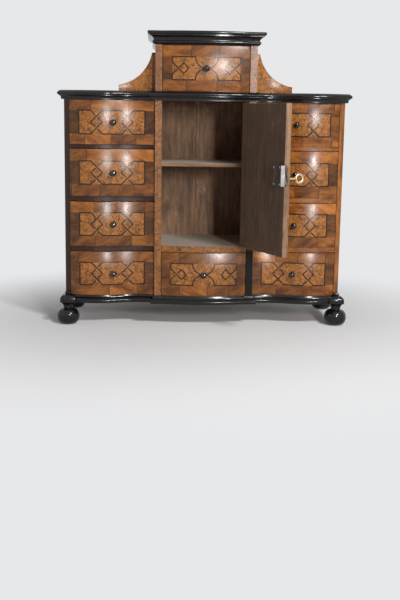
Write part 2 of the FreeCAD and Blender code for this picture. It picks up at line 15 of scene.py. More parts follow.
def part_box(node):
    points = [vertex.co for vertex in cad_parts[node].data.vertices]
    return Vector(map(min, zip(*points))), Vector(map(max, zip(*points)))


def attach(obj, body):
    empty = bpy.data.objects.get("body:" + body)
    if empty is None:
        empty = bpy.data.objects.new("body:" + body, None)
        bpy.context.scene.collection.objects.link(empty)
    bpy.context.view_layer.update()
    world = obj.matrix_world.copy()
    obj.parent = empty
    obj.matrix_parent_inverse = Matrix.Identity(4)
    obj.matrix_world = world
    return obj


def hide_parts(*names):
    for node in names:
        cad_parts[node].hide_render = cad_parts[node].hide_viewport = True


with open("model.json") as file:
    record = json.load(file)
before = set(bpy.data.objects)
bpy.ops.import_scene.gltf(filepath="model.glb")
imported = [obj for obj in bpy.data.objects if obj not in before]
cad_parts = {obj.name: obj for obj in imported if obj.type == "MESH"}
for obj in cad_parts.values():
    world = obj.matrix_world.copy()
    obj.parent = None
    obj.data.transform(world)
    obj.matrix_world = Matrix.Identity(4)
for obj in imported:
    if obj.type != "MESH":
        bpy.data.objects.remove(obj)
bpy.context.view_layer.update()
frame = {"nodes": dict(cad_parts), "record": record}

bl_info = {
    "name": "Serpentine table cabinet",
    "version": (1, 0, 0),
    "blender": (4, 5, 0),
    "location": "View3D > Sidebar > Cabinet",
    "description": "Dresses a packed table cabinet with veneer, stringing, mouldings and fittings",
    "category": "Add Mesh",
}

# The photograph's frame in pixels, and the camera that took it
FRAME_HEIGHT = 600
FOCAL_PIXELS = 989.074
CAMERA_PITCH = 10.77
CAMERA_ROLL = 0.853
CAMERA_YAW = -2.644
CAMERA_PLACE = (-0.121992, -2.477715, 0.537099)
SENSOR = 36.0

# Levels of the frame that many pieces share
STRIP_LOW, STRIP_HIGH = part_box("right_divider")
SIDE_LOW, SIDE_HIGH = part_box("right_side")
FRONT_Y = STRIP_LOW[1]
STRIP_INNER = STRIP_LOW[0]
STRIP_OUTER = STRIP_HIGH[0]
BAY_OUTER = SIDE_LOW[0]
HALF_WIDTH = SIDE_HIGH[0]
BACK_Y = SIDE_HIGH[1]

# Moulding sections from the bottom up: (share of reach, share of height, bulge of the line that leads there)
BASE_SECTION = [
    (0.73, 0.0, 0.0), (0.73, 0.12, 0.0), (0.73, 0.48, 0.83), (0.73, 0.55, 0.0), (0.6, 0.55, 0.0),
    (0.2, 0.9, -0.3), (0.17, 0.93, 0.0), (0.17, 1.0, 0.0),
]
CORNICE_SECTION = [
    (0.42, 0.0, 0.0), (0.42, 0.12, 0.0), (0.76, 0.43, -0.36), (0.76, 0.5, 0.0), (0.84, 0.5, 0.0),
    (0.86, 0.82, 0.62), (0.48, 1.0, 0.12),
]
UPPER_SECTION = [
    (0.15, 0.0, 0.0), (0.27, 0.09, 0.0), (0.27, 0.29, 0.7), (0.225, 0.3, 0.0), (0.225, 0.34, 0.0),
    (0.73, 0.65, -0.36), (0.73, 0.735, 0.0), (0.84, 0.745, 0.0), (0.86, 1.0, 0.62),
]


def share_of(low, high, share):
    """A value part of the way from low to high."""
    return low + (high - low) * share


def middle_of(low, high):
    """The point halfway between two corners."""
    return Vector(low).lerp(Vector(high), 0.5)


def share_setting(name, description, default):
    """A setting given as a share of a larger size."""
    return bpy.props.FloatProperty(name=name, description=description, default=default, subtype="FACTOR")


def length_setting(name, description, default):
    """A setting in metres."""
    return bpy.props.FloatProperty(name=name, description=description, default=default, unit="LENGTH")


def colour_setting(name, description, default):
    """A setting that is a colour."""
    return bpy.props.FloatVectorProperty(
        name=name, description=description, default=default, subtype="COLOR", size=3)


class CabinetSizes(bpy.types.PropertyGroup):
    """Sizes of what is modelled here."""

    hollow_place: share_setting("Hollow place", "Where the hollow is deepest, as a share of a bay", 0.203)
    hollow_depth: length_setting("Hollow depth", "How far the hollow lies behind the strips", 0.022)
    swell_place: share_setting("Swell place", "Where the swell stands out most, as a share of a bay", 0.694)
    swell_depth: length_setting("Swell depth", "How far the swell lies behind the strips", 0.004)
    swell_radius: share_setting("Swell radius", "Radius of the swell, as a share of a bay", 0.708)
    bow_forward: length_setting("Bow forward", "How far the bowed centre stands before the strips", 0.013)
    bow_end_depth: length_setting("Bow end depth", "How far the bow's ends lie behind the strips", 0.002)
    edge_round: length_setting("Edge round", "Rounding of the veneered edges", 0.0007)
    line_width: length_setting("Stringing width", "Width of the black stringing", 0.0033)
    strap_half_width: length_setting(
        "Strapwork half width", "Half the width of the inlay on a side drawer", 0.081)
    strap_half_height: length_setting(
        "Strapwork half height", "Half the height of the inlay on a side drawer", 0.0285)
    loop_half_width: length_setting(
        "Looped inlay half width", "Half the width of the inlay on a centre drawer", 0.0835)
    loop_half_height: length_setting(
        "Looped inlay half height", "Half the height of the inlay on a centre drawer", 0.0275)
    banding_width: length_setting("Banding piece", "Usual length of a piece of the walnut bands", 0.075)
    screw_radius: length_setting("Screw radius", "Radius of a lock screw's head", 0.0022)


class CabinetColours(bpy.types.PropertyGroup):
    """Colours of the finishes."""

    walnut_light: colour_setting(
        "Walnut light", "Light streaks of the straight walnut", (0.345, 0.122, 0.023))
    walnut_dark: colour_setting("Walnut dark", "Dark streaks of the straight walnut", (0.085, 0.024, 0.005))
    burl_light: colour_setting("Burl light", "Ground of the burl", (0.385, 0.146, 0.030))
    # Burl dark also serves as painted shade on edge gaps, the left stile and the left rails
    burl_dark: colour_setting("Burl dark", "Figure of the burl", (0.030, 0.008, 0.003))
    ebony: colour_setting("Ebonised", "Black polish of mouldings and feet", (0.004, 0.0036, 0.0036))
    ebony_worn: colour_setting(
        "Worn edge", "Wood that shows where the black has rubbed away", (0.07, 0.045, 0.032))
    # Stringing also serves as the painted shadow of the open door on the right strip's low end
    stringing: colour_setting("Stringing", "Stained wood of the inlaid lines", (0.004, 0.003, 0.0025))
    board_light: colour_setting("Board light", "Light streaks of the bare boards", (0.31, 0.172, 0.09))
    board_dark: colour_setting("Board dark", "Dark streaks of the bare boards", (0.07, 0.037, 0.02))
    board_scuffed: colour_setting("Board scuffed", "Scuffed patches of the bare boards", (0.47, 0.28, 0.145))
    iron: colour_setting("Iron", "Iron of lock and hinges", (0.56, 0.52, 0.48))
    iron_dark: colour_setting("Iron patina", "Dark patina on the iron", (0.06, 0.05, 0.044))
    case_iron: colour_setting("Lock case", "Blackened iron of the lock's case", (0.11, 0.095, 0.085))
    dust: colour_setting("Dust", "Dust on the flat boards inside", (0.50, 0.45, 0.39))
    brass: colour_setting("Brass", "Brass of the key and escutcheon", (0.72, 0.58, 0.36))
    brass_dark: colour_setting("Brass patina", "Tarnish on the brass", (0.17, 0.115, 0.05))
    floor: colour_setting("Floor", "Pale floor", (0.82, 0.82, 0.83))
    backdrop: colour_setting("Backdrop", "Pale surroundings", (0.80, 0.805, 0.815))


# Curves of the front in plan


class FrontPlan:
    """The hollow and swell of the right bay and the bow of the centre, as arcs seen from above."""

    def __init__(self, measures):
        bay = BAY_OUTER - STRIP_OUTER
        hollow_x = STRIP_OUTER + measures.hollow_place * bay
        swell_x = STRIP_OUTER + measures.swell_place * bay
        rise = measures.hollow_depth - measures.swell_depth
        self.swell_radius = measures.swell_radius * bay
        self.radius_sum = ((swell_x - hollow_x) ** 2 + rise ** 2) / (2 * rise)
        self.hollow_radius = self.radius_sum - self.swell_radius
        self.hollow_centre = Vector((hollow_x, FRONT_Y + measures.hollow_depth - self.hollow_radius, 0))
        self.swell_centre = Vector((swell_x, FRONT_Y + measures.swell_depth + self.swell_radius, 0))
        bow_rise = measures.bow_forward + measures.bow_end_depth
        self.bow_radius = (STRIP_INNER ** 2 + bow_rise ** 2) / (2 * bow_rise)
        self.bow_centre = Vector((0, FRONT_Y - measures.bow_forward + self.bow_radius, 0))

    def turn(self, forward=0.0):
        """Where the hollow meets the swell."""
        share = (self.hollow_radius - forward) / self.radius_sum
        return self.hollow_centre.lerp(self.swell_centre, share)

    def bay(self, x, forward=0.0):
        """The point of the bay's front at x, on a parallel curve if forward isn't 0."""
        if x <= self.turn(forward).x:
            reach = self.hollow_radius - forward
            y = self.hollow_centre.y + math.sqrt(reach ** 2 - (x - self.hollow_centre.x) ** 2)
        else:
            reach = self.swell_radius + forward
            y = self.swell_centre.y - math.sqrt(reach ** 2 - (x - self.swell_centre.x) ** 2)
        return Vector((x, y, 0))

    def bow(self, x):
        """The point of the bow's front at x."""
        return Vector((x, self.bow_centre.y - math.sqrt(self.bow_radius ** 2 - x ** 2), 0))


def angle_between(centre, start, end):
    """The turn about a centre from one point to another, seen from above, anticlockwise positive."""
    first = math.atan2(start.y - centre.y, start.x - centre.x)
    last = math.atan2(end.y - centre.y, end.x - centre.x)
    return (last - first + math.pi) % (2 * math.pi) - math.pi


# Modelling by hand

UP = Vector((0, 0, 1))
BACKWARDS = Vector((0, 1, 0))
RIGHT_ANGLE = math.radians(90)
FULL_TURN = math.radians(360)
# Points nearer to each other than this are merged, in a drawn line and in a finished mesh
LINE_MERGE = 0.00001
MESH_MERGE = 0.00002
# A face counts as turned to one side when that part of its direction is above this
FACING = 0.5
# The angle in degrees above which turned pieces and mouldings show an edge
TURNED_EDGE = 35.0
# How much a panel's height counts beside its place across, in the number that tells panels apart
PANEL_SPREAD = 3.7


def deselect():
    """Selects no piece."""
    bpy.ops.object.select_all(action="DESELECT")


def select_only(piece):
    """Makes one piece the only selected and the active one."""
    deselect()
    piece.select_set(True)
    bpy.context.view_layer.objects.active = piece


def select_mesh():
    """Selects all points of an open mesh."""
    bpy.ops.mesh.select_mode(type="VERT")
    bpy.ops.mesh.select_all(action="SELECT")


def open_mesh(piece):
    """Edit mode on one piece, with all of it selected."""
    select_only(piece)
    bpy.ops.object.mode_set(mode="EDIT")
    select_mesh()


def close_mesh():
    """Back to object mode."""
    bpy.ops.object.mode_set(mode="OBJECT")


def name_piece(name):
    """Names the piece that was just added and puts its place into its mesh."""
    piece = bpy.context.object
    piece.name = name
    piece.data.name = name
    bpy.ops.object.transform_apply(location=True, rotation=True, scale=True)
    return piece


def start_point(name, place):
    """A small plane drawn together to one point, left in edit mode to be extruded from."""
    deselect()
    bpy.ops.mesh.primitive_plane_add(size=0.001, location=place)
    piece = name_piece(name)
    open_mesh(piece)
    bpy.ops.mesh.merge(type="CENTER")
    return piece


def push(move, extrude=bpy.ops.mesh.extrude_region_move):
    """Extrudes what is selected by a move."""
    extrude(TRANSFORM_OT_translate={"value": move})


def draw_line(name, points):
    """A new piece of edges through points, all selected, in edit mode."""
    piece = start_point(name, points[0])
    for start, end in zip(points, points[1:]):
        push(end - start, bpy.ops.mesh.extrude_vertices_move)
    select_mesh()
    bpy.ops.mesh.remove_doubles(threshold=LINE_MERGE)
    select_mesh()
    return piece


def spin_by(centre, angle, steps, axis=UP):
    """Spins what is selected about an axis; a positive angle is anticlockwise, seen from the axis's tip."""
    bpy.ops.mesh.spin(steps=steps, angle=-angle, center=centre, axis=axis)


def spin_between(centre, start, end, steps):
    """Spins what is selected about an upright axis, from one point to another."""
    spin_by(centre, angle_between(centre, start, end), steps)


def pick_faces(piece, test):
    """Selects the faces of an open mesh whose normal and centre pass a test, and no others."""
    bpy.ops.mesh.select_mode(type="FACE")
    bpy.ops.mesh.select_all(action="DESELECT")
    shape = bmesh.from_edit_mesh(piece.data)
    for face in shape.faces:
        face.select = test(face.normal, face.calc_center_median())
    shape.select_flush_mode()
    bmesh.update_edit_mesh(piece.data)


def clean_mesh():
    """Merges doubles, closes open ends and turns the faces outwards, in edit mode."""
    select_mesh()
    bpy.ops.mesh.remove_doubles(threshold=MESH_MERGE)
    bpy.ops.mesh.fill_holes(sides=0)
    bpy.ops.mesh.normals_make_consistent(inside=False)


def finish_mesh():
    """Cleans an open mesh and goes back to object mode."""
    clean_mesh()
    close_mesh()


def bisect_at(place, normal):
    """Cuts all of an open mesh by a plane, drops what lies on the normal's side and closes the cut."""
    select_mesh()
    bpy.ops.mesh.bisect(plane_co=place, plane_no=normal, use_fill=True, clear_outer=True)


def round_edges(piece, width, segments=2, angle=40.0):
    """Rounds the sharp edges of a piece."""
    select_only(piece)
    bpy.ops.object.modifier_add(type="BEVEL")
    rounding = piece.modifiers[-1]
    rounding.width = width
    rounding.segments = segments
    rounding.limit_method = "ANGLE"
    rounding.angle_limit = math.radians(angle)
    bpy.ops.object.modifier_apply(modifier=rounding.name)


def shade(piece, angle=30.0):
    """Smooth shading, broken at sharp edges."""
    select_only(piece)
    bpy.ops.object.shade_smooth_by_angle(angle=math.radians(angle))


def cut_away(piece, cutter):
    """Cuts a piece by another, which is used up."""
    select_only(piece)
    bpy.ops.object.modifier_add(type="BOOLEAN")
    cut = piece.modifiers[-1]
    cut.object = cutter
    cut.operation = "DIFFERENCE"
    cut.solver = "EXACT"
    bpy.ops.object.modifier_apply(modifier=cut.name)
    select_only(cutter)
    bpy.ops.object.delete()


def board_between(name, low, high):
    """A plain block between two corners, left in edit mode to be worked on."""
    deselect()
    bpy.ops.mesh.primitive_cube_add(size=1, location=middle_of(low, high))
    bpy.context.object.scale = [b - a for a, b in zip(low, high)]
    piece = name_piece(name)
    open_mesh(piece)
    return piece


def copy_piece(piece, name, move=(0, 0, 0), mirror=False):
    """A copy with its own mesh, mirrored to the other side of the middle and then moved."""
    select_only(piece)
    bpy.ops.object.duplicate()
    if mirror:
        bpy.ops.transform.resize(value=(-1, 1, 1), center_override=(0, 0, 0))
    bpy.ops.transform.translate(value=move)
    copy = name_piece(name)
    if mirror:
        open_mesh(copy)
        bpy.ops.mesh.normals_make_consistent(inside=False)
        close_mesh()
    return copy


def join_pieces(name, pieces):
    """One object from several."""
    select_only(pieces[0])
    for piece in pieces[1:]:
        piece.select_set(True)
    bpy.ops.object.join()
    return name_piece(name)


def arc_points(start, end, bulge, steps):
    """Points after start on an arc to end; bulge is its rise to the left as a share of the half chord."""
    if abs(bulge) < 0.01:
        return [end]
    chord = end - start
    middle = (start + end) / 2
    half = chord.length / 2
    side = Vector((-chord.y, chord.x)).normalized()
    rise = bulge * half
    radius = (half ** 2 + rise ** 2) / (2 * abs(rise))
    centre = middle + side * (rise - math.copysign(radius, rise))
    sweep = 2 * math.asin(min(1.0, half / radius))
    if abs(bulge) > 1:
        sweep = 2 * math.pi - sweep
    turn = -math.copysign(sweep, rise)
    spoke = start - centre
    return [centre + Matrix.Rotation(turn * step / steps, 2) @ spoke for step in range(1, steps + 1)]


def outline_points(corners, bulges, steps):
    """A line through corners; each bulge is that of the line that leads to its corner."""
    points = [corners[0]]
    for corner, bulge in zip(corners[1:], bulges[1:]):
        points += arc_points(points[-1], corner, bulge, steps)
    return points


def section_points(section, reach, low, high):
    """A moulding's outline in metres as (reach, height), from the bottom up, with its arcs."""
    corners = [Vector((share * reach, share_of(low, high, height))) for share, height, bulge in section]
    return outline_points(corners, [-bulge for share, height, bulge in section], 8)


def lay_panel(piece, centre_x, centre_z, flip=1.0):
    """Keeps each point's place on a veneered panel for the inlay: across, up, and a number for the panel."""
    which = centre_x + PANEL_SPREAD * centre_z
    values = []
    for vertex in piece.data.vertices:
        values += [vertex.co.x - centre_x, (vertex.co.z - centre_z) * flip, which]
    if "panel" not in piece.data.attributes:
        piece.data.attributes.new("panel", "FLOAT_VECTOR", "POINT")
    piece.data.attributes["panel"].data.foreach_set("vector", values)


def settle(piece, body, nodes=()):
    """Gives a finished piece its body and the nodes that it stands for."""
    if not piece.data.polygons:
        raise RuntimeError(f"{piece.name} has no faces")
    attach(piece, body)
    if nodes:
        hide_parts(*nodes)


def sizes():
    """The sizes set for this scene."""
    return bpy.context.scene.cabinet_sizes


def colours():
    """The colours set for this scene."""
    return bpy.context.scene.cabinet_colours


# Finishes, from shader nodes

# A surface faces the front where the y of its direction is below this
FRONT_FACING = -0.5
VENEER_GLEAM = 0.36
BOARD_GLEAM = 0.5
EDGE_ROUGHNESS = 0.32
# Where the soft edge of an inlaid line starts and ends, as shares of its half width
LINE_EDGE = (0.82, 1.18)
# How wide the gap in a line is where another crosses over it, as a share of that line's width
CROSSING_GAP = 2.1
# Steps that keep the banding of different panels, sides and bands from repeating each other
PANEL_STEP = 3.1
SIDE_STEP = 7.3
BAND_STEP = 31.7
# The most that the grain of a piece of banding slants, in radians
BAND_SLANT = 0.75
WALNUT_FINENESS = 0.8
# How far below and above the cupboard's floor the painted shadow of the open door on a strip fades out
SHADOW_BELOW = 0.014
SHADOW_ABOVE = 0.004
# Half width and half height of the door's inlay and of the sides' burl, and how far that lies back
DOOR_INLAY = (0.142, 0.056)
SIDE_FIELD = (0.078, 0.19)
SIDE_FIELD_BACK = 0.004


def feed(tree, node, feeds):
    """Sets a node's inputs to values or links them to sockets."""
    for key, value in feeds.items():
        if isinstance(value, bpy.types.NodeSocket):
            tree.links.new(value, node.inputs[key])
        else:
            node.inputs[key].default_value = value


def put(tree, kind, feeds=None, **settings):
    """A node with its settings and its feeds."""
    node = tree.nodes.new("ShaderNode" + kind)
    for name, value in settings.items():
        setattr(node, name, value)
    feed(tree, node, feeds or {})
    return node


def maths(tree, operation, *values, clamp=False):
    """A number worked out from others."""
    return put(tree, "Math", dict(enumerate(values)), operation=operation, use_clamp=clamp).outputs[0]


def largest(tree, first, *others):
    """The largest of several numbers."""
    for other in others:
        first = maths(tree, "MAXIMUM", first, other)
    return first


def vectors(tree, operation, *values, output=0):
    """A vector, or with output 1 a number, worked out from vectors."""
    return put(tree, "VectorMath", dict(enumerate(values)), operation=operation).outputs[output]


def scaled(tree, vector, factor):
    """A vector made longer by a factor."""
    return put(tree, "VectorMath", {0: vector, "Scale": factor}, operation="SCALE").outputs[0]


def step_up(tree, value, low, high):
    """A smooth rise from 0 at low to 1 at high."""
    feeds = {"Value": value, "From Min": low, "From Max": high}
    return put(tree, "MapRange", feeds, interpolation_type="SMOOTHSTEP").outputs["Result"]


def step_down(tree, value, low, high):
    """A smooth fall from 1 at low to 0 at high."""
    return maths(tree, "SUBTRACT", 1.0, step_up(tree, value, low, high))


def spread(tree, value, low, high):
    """A value from 0 to 1 laid between low and high."""
    return put(tree, "MapRange", {"Value": value, "To Min": low, "To Max": high}).outputs["Result"]


def mix(tree, factor, first, second):
    """A colour between two."""
    return put(tree, "Mix", {0: factor, 6: first, 7: second}, data_type="RGBA").outputs[2]


def mix_values(tree, factor, first, second):
    """A number between two."""
    return put(tree, "Mix", {0: factor, 2: first, 3: second}, data_type="FLOAT").outputs[0]


def mix_vectors(tree, factor, first, second):
    """A vector between two."""
    return put(tree, "Mix", {0: factor, 4: first, 5: second}, data_type="VECTOR").outputs[1]


def shaded(tree, colour, tone):
    """A colour times a factor, which is a number or a socket."""
    if not isinstance(tone, bpy.types.NodeSocket):
        tone = (tone, tone, tone, 1.0)
    feeds = {0: 1.0, 6: colour, 7: tone}
    return put(tree, "Mix", feeds, data_type="RGBA", blend_type="MULTIPLY").outputs[2]


def noise(tree, place, scale, detail=3.0, roughness=0.5, distortion=0.0, output="Fac"):
    """Soft noise over the surface."""
    feeds = {
        "Vector": place, "Scale": scale, "Detail": detail, "Roughness": roughness, "Distortion": distortion,
    }
    return put(tree, "TexNoise", feeds).outputs[output]


def object_place(tree):
    """The place on the cabinet, in metres."""
    return put(tree, "TexCoord").outputs["Object"]


def surface_normal(tree):
    """The direction that the surface faces."""
    return put(tree, "NewGeometry").outputs["Normal"]


def parts_of(tree, vector):
    """The three numbers of a vector."""
    return put(tree, "SeparateXYZ", {0: vector}).outputs


def from_parts(tree, x, y, z):
    """A vector from three numbers."""
    return put(tree, "CombineXYZ", {0: x, 1: y, 2: z}).outputs[0]


def colour_of(value):
    """A colour with its alpha."""
    return (*value, 1.0)


def new_group(name, inputs, outputs):
    """An empty shader node group, its input sockets and its output sockets."""
    tree = bpy.data.node_groups.new(name, "ShaderNodeTree")
    for socket, kind, value in inputs:
        made = tree.interface.new_socket(socket, in_out="INPUT", socket_type="NodeSocket" + kind)
        made.default_value = value
    for socket, kind in outputs:
        tree.interface.new_socket(socket, in_out="OUTPUT", socket_type="NodeSocket" + kind)
    source = tree.nodes.new("NodeGroupInput").outputs
    sink = tree.nodes.new("NodeGroupOutput").inputs
    return tree, source, sink


def place_group(tree, name, feeds):
    """A shared group placed in a material; gives its outputs."""
    return put(tree, "Group", feeds, node_tree=bpy.data.node_groups[name]).outputs


def edge_rub_and_shade(tree, place, radius, amount):
    """How much the edges near a place are marked: real rubbing on black polish and metal, painted shade of the
    gaps on veneers and boards.
    """
    return place_group(tree, "edge rub and shade", {"Place": place, "Radius": radius, "Amount": amount})["Rub And Shade"]


def old_polish(tree, place, smooth, rough):
    """The roughness of old polish."""
    return place_group(tree, "old polish", {"Place": place, "Smooth": smooth, "Rough": rough})["Roughness"]


def make_grain_group():
    """Straight grain that runs along the vector's z: broad streaks, fine streaks and pores."""
    inputs = [("Place", "Vector", (0, 0, 0)), ("Fineness", "Float", 1.0), ("Clouds", "Float", 0.45)]
    tree, source, sink = new_group("straight grain", inputs, [("Streak", "Float"), ("Pore", "Float")])
    drawn_out = vectors(tree, "MULTIPLY", source["Place"], (1.0, 1.0, 0.07))
    sway = noise(tree, source["Place"], scale=9.0, detail=2.0, output="Color")
    swaying = vectors(tree, "MULTIPLY_ADD", sway, (0.012, 0.012, 0.0), drawn_out)
    place = scaled(tree, swaying, source["Fineness"])
    broad = noise(tree, place, scale=85.0, detail=4.0, roughness=0.6)
    fine = noise(tree, place, scale=420.0, detail=3.0, roughness=0.6)
    cloud_place = vectors(tree, "MULTIPLY", source["Place"], (1.0, 1.0, 0.5))
    clouds = maths(tree, "SUBTRACT", noise(tree, cloud_place, scale=45.0, detail=3.0), 0.5)
    streaks = maths(tree, "MULTIPLY_ADD", fine, 0.3, maths(tree, "MULTIPLY", broad, 0.5))
    streaks = maths(tree, "MULTIPLY_ADD", clouds, source["Clouds"], streaks)
    tree.links.new(step_up(tree, streaks, 0.2, 0.64), sink["Streak"])
    pore_place = vectors(tree, "MULTIPLY", place, (1.0, 1.0, 2.2))
    pores = noise(tree, pore_place, scale=1500.0, detail=1.0)
    tree.links.new(step_up(tree, pores, 0.6, 0.72), sink["Pore"])


def make_burl_group():
    """Burl: a swirling tone, dark squiggles and eyes."""
    inputs = [("Place", "Vector", (0, 0, 0))]
    tree, source, sink = new_group("burl figure", inputs, [("Tone", "Float"), ("Figure", "Float")])
    place = source["Place"]
    swirl = noise(tree, place, scale=70.0, detail=3.0, roughness=0.6, output="Color")
    bent = vectors(tree, "MULTIPLY_ADD", swirl, (0.012, 0.012, 0.012), place)
    tone = noise(tree, bent, scale=120.0, detail=5.0, roughness=0.68, distortion=0.4)
    tree.links.new(step_up(tree, tone, 0.36, 0.62), sink["Tone"])
    ridge = noise(tree, bent, scale=170.0, detail=3.0, roughness=0.6, distortion=0.8)
    ridge = maths(tree, "ABSOLUTE", maths(tree, "SUBTRACT", ridge, 0.5))
    squiggle = step_down(tree, ridge, 0.01, 0.07)
    cells = put(tree, "TexVoronoi", {"Vector": bent, "Scale": 230.0, "Randomness": 1.0}).outputs["Distance"]
    eyes = step_down(tree, cells, 0.2, 0.42)
    clusters = step_up(tree, noise(tree, place, scale=60.0, detail=2.0), 0.36, 0.62)
    figure = largest(tree, maths(tree, "MULTIPLY", squiggle, 0.85), eyes)
    tree.links.new(maths(tree, "MULTIPLY", figure, spread(tree, clusters, 0.45, 1.0)), sink["Figure"])


def make_line_group():
    """A straight inlaid line between two points of a panel."""
    inputs = [
        ("Point", "Vector", (0, 0, 0)), ("Start", "Vector", (0, 0, 0)), ("End", "Vector", (0, 0, 0)),
        ("Half Width", "Float", 0.0015),
    ]
    tree, source, sink = new_group("string line", inputs, [("Mask", "Float")])
    run = vectors(tree, "SUBTRACT", source["End"], source["Start"])
    away = vectors(tree, "SUBTRACT", source["Point"], source["Start"])
    along = vectors(tree, "DOT_PRODUCT", away, run, output=1)
    length = vectors(tree, "DOT_PRODUCT", run, run, output=1)
    foot = scaled(tree, run, maths(tree, "DIVIDE", along, length, clamp=True))
    gap = vectors(tree, "LENGTH", vectors(tree, "SUBTRACT", away, foot), output=1)
    ratio = maths(tree, "DIVIDE", gap, source["Half Width"])
    tree.links.new(step_down(tree, ratio, *LINE_EDGE), sink["Mask"])


class Strapwork:
    """An inlay pattern in the making: its node group, the points of the panel and the lines laid on it."""

    def __init__(self, name):
        inputs = [
            ("Panel", "Vector", (0, 0, 0)), ("Half Width", "Float", 0.08), ("Half Height", "Float", 0.03),
            ("Line Width", "Float", 0.003),
        ]
        tree, source, self.sink = new_group(name, inputs, [("Line", "Float"), ("Field", "Float")])
        self.tree = tree
        panel = parts_of(tree, source["Panel"])
        self.plain = from_parts(tree, maths(tree, "ABSOLUTE", panel[0]), panel[1], 0.0)
        self.folded = vectors(tree, "ABSOLUTE", self.plain)
        self.size = from_parts(tree, source["Half Width"], source["Half Height"], 0.0)
        over = parts_of(tree, vectors(tree, "SUBTRACT", self.folded, self.size))
        self.edge = largest(tree, over[0], over[1])
        tree.links.new(self.inside(), self.sink["Field"])
        self.half_line = maths(tree, "MULTIPLY", source["Line Width"], 0.5)

    def inside(self):
        """1 within the pattern's outline."""
        return maths(self.tree, "LESS_THAN", self.edge, 0.0)

    def line(self, point, ends, wider=1.0):
        """One line of the pattern, its ends given as shares of the half width and half height."""
        start, end = ends
        feeds = {
            "Point": point,
            "Start": vectors(self.tree, "MULTIPLY", self.size, (*start, 0.0)),
            "End": vectors(self.tree, "MULTIPLY", self.size, (*end, 0.0)),
            "Half Width": maths(self.tree, "MULTIPLY", self.half_line, wider),
        }
        return place_group(self.tree, "string line", feeds)["Mask"]

    def rim(self, away):
        """A line where a distance is 0."""
        ratio = maths(self.tree, "DIVIDE", maths(self.tree, "ABSOLUTE", away), self.half_line)
        return step_down(self.tree, ratio, *LINE_EDGE)

    def crossed(self, point, over, under):
        """Two crossing lines, the lower one interrupted beside the upper."""
        clear = maths(self.tree, "SUBTRACT", 1.0, self.line(point, over, wider=CROSSING_GAP))
        lower = maths(self.tree, "MULTIPLY", self.line(point, under), clear)
        return largest(self.tree, self.line(point, over), lower)

    def finish(self, *lines):
        """Puts out the lines as one mask."""
        self.tree.links.new(largest(self.tree, *lines), self.sink["Line"])


def make_interlaced_group():
    """Strapwork of the side drawers: two end panels whose points interlace with a long hexagon."""
    straps = Strapwork("interlaced strapwork")
    panel_in = 0.64
    hexagon_in = 0.29
    panel_ends = ((panel_in, 1), (hexagon_in, 0))
    hexagon_ends = ((hexagon_in, 1), (panel_in, 0))
    upper = straps.crossed(straps.folded, panel_ends, hexagon_ends)
    lower = straps.crossed(straps.folded, hexagon_ends, panel_ends)
    above = maths(straps.tree, "GREATER_THAN", parts_of(straps.tree, straps.plain)[1], 0.0)
    slanted = mix_values(straps.tree, above, lower, upper)
    outline = [((1, 0), (1, 1)), ((1, 1), (panel_in, 1)), ((0, 1), (hexagon_in, 1))]
    straps.finish(slanted, *[straps.line(straps.folded, ends) for ends in outline])


def make_looped_group():
    """Strapwork of the centre drawers: ends that loop into a lozenge, and two bows that meet at the knob."""
    straps = Strapwork("looped strapwork")
    tree = straps.tree
    loop_x, loop_y = 0.664, 0.47
    shoulder = 0.52
    bow_start = 0.326
    lozenge_in = 0.534
    falling = ((1, shoulder), (loop_x, -loop_y))
    rising = ((1, -shoulder), (loop_x, loop_y))
    loop = straps.crossed(straps.plain, falling, rising)
    outline = [((1, 1), (1, shoulder)), ((1, 1), (bow_start, 1)), ((loop_x, loop_y), (lozenge_in, 0))]
    bow_centre = vectors(tree, "MULTIPLY", straps.size, (0, 1, 0))
    spoke = vectors(tree, "DISTANCE", straps.folded, bow_centre, output=1)
    ring = straps.rim(maths(tree, "SUBTRACT", spoke, parts_of(tree, straps.size)[1]))
    bow = maths(tree, "MULTIPLY", ring, straps.inside())
    straps.finish(loop, bow, *[straps.line(straps.folded, ends) for ends in outline])


def make_framed_group():
    """A plain stringing frame round a field of burl."""
    straps = Strapwork("framed field")
    straps.finish(straps.rim(straps.edge))


def make_edge_mark_group():
    """An edge mask, 1 on a sharp edge and broken up by noise: real rubbing on black polish and metal, painted
    shade of the gaps on veneers and boards.
    """
    inputs = [("Place", "Vector", (0, 0, 0)), ("Radius", "Float", 0.0012), ("Amount", "Float", 0.5)]
    tree, source, sink = new_group("edge rub and shade", inputs, [("Rub And Shade", "Float")])
    rounded = put(tree, "Bevel", {"Radius": source["Radius"]}, samples=4).outputs[0]
    alike = vectors(tree, "DOT_PRODUCT", rounded, surface_normal(tree), output=1)
    bend = step_up(tree, maths(tree, "SUBTRACT", 1.0, alike), 0.01, 0.16)
    broken = step_up(tree, noise(tree, source["Place"], scale=95.0, detail=4.0, roughness=0.65), 0.36, 0.7)
    edge_mark = maths(tree, "MULTIPLY", maths(tree, "MULTIPLY", bend, broken), source["Amount"])
    tree.links.new(edge_mark, sink["Rub And Shade"])


def make_polish_group():
    """Old polish: a roughness that varies in clouds, smears and fine scratches."""
    inputs = [("Place", "Vector", (0, 0, 0)), ("Smooth", "Float", 0.25), ("Rough", "Float", 0.45)]
    tree, source, sink = new_group("old polish", inputs, [("Roughness", "Float")])
    clouds = noise(tree, source["Place"], scale=22.0, detail=4.0, roughness=0.6)
    smear_place = vectors(tree, "MULTIPLY", source["Place"], (1.0, 1.0, 0.2))
    smears = noise(tree, smear_place, scale=260.0, detail=2.0)
    both = maths(tree, "MULTIPLY_ADD", smears, 0.4, maths(tree, "MULTIPLY", clouds, 0.8))
    rough = spread(tree, step_up(tree, both, 0.35, 0.85), source["Smooth"], source["Rough"])
    tree.links.new(rough, sink["Roughness"])


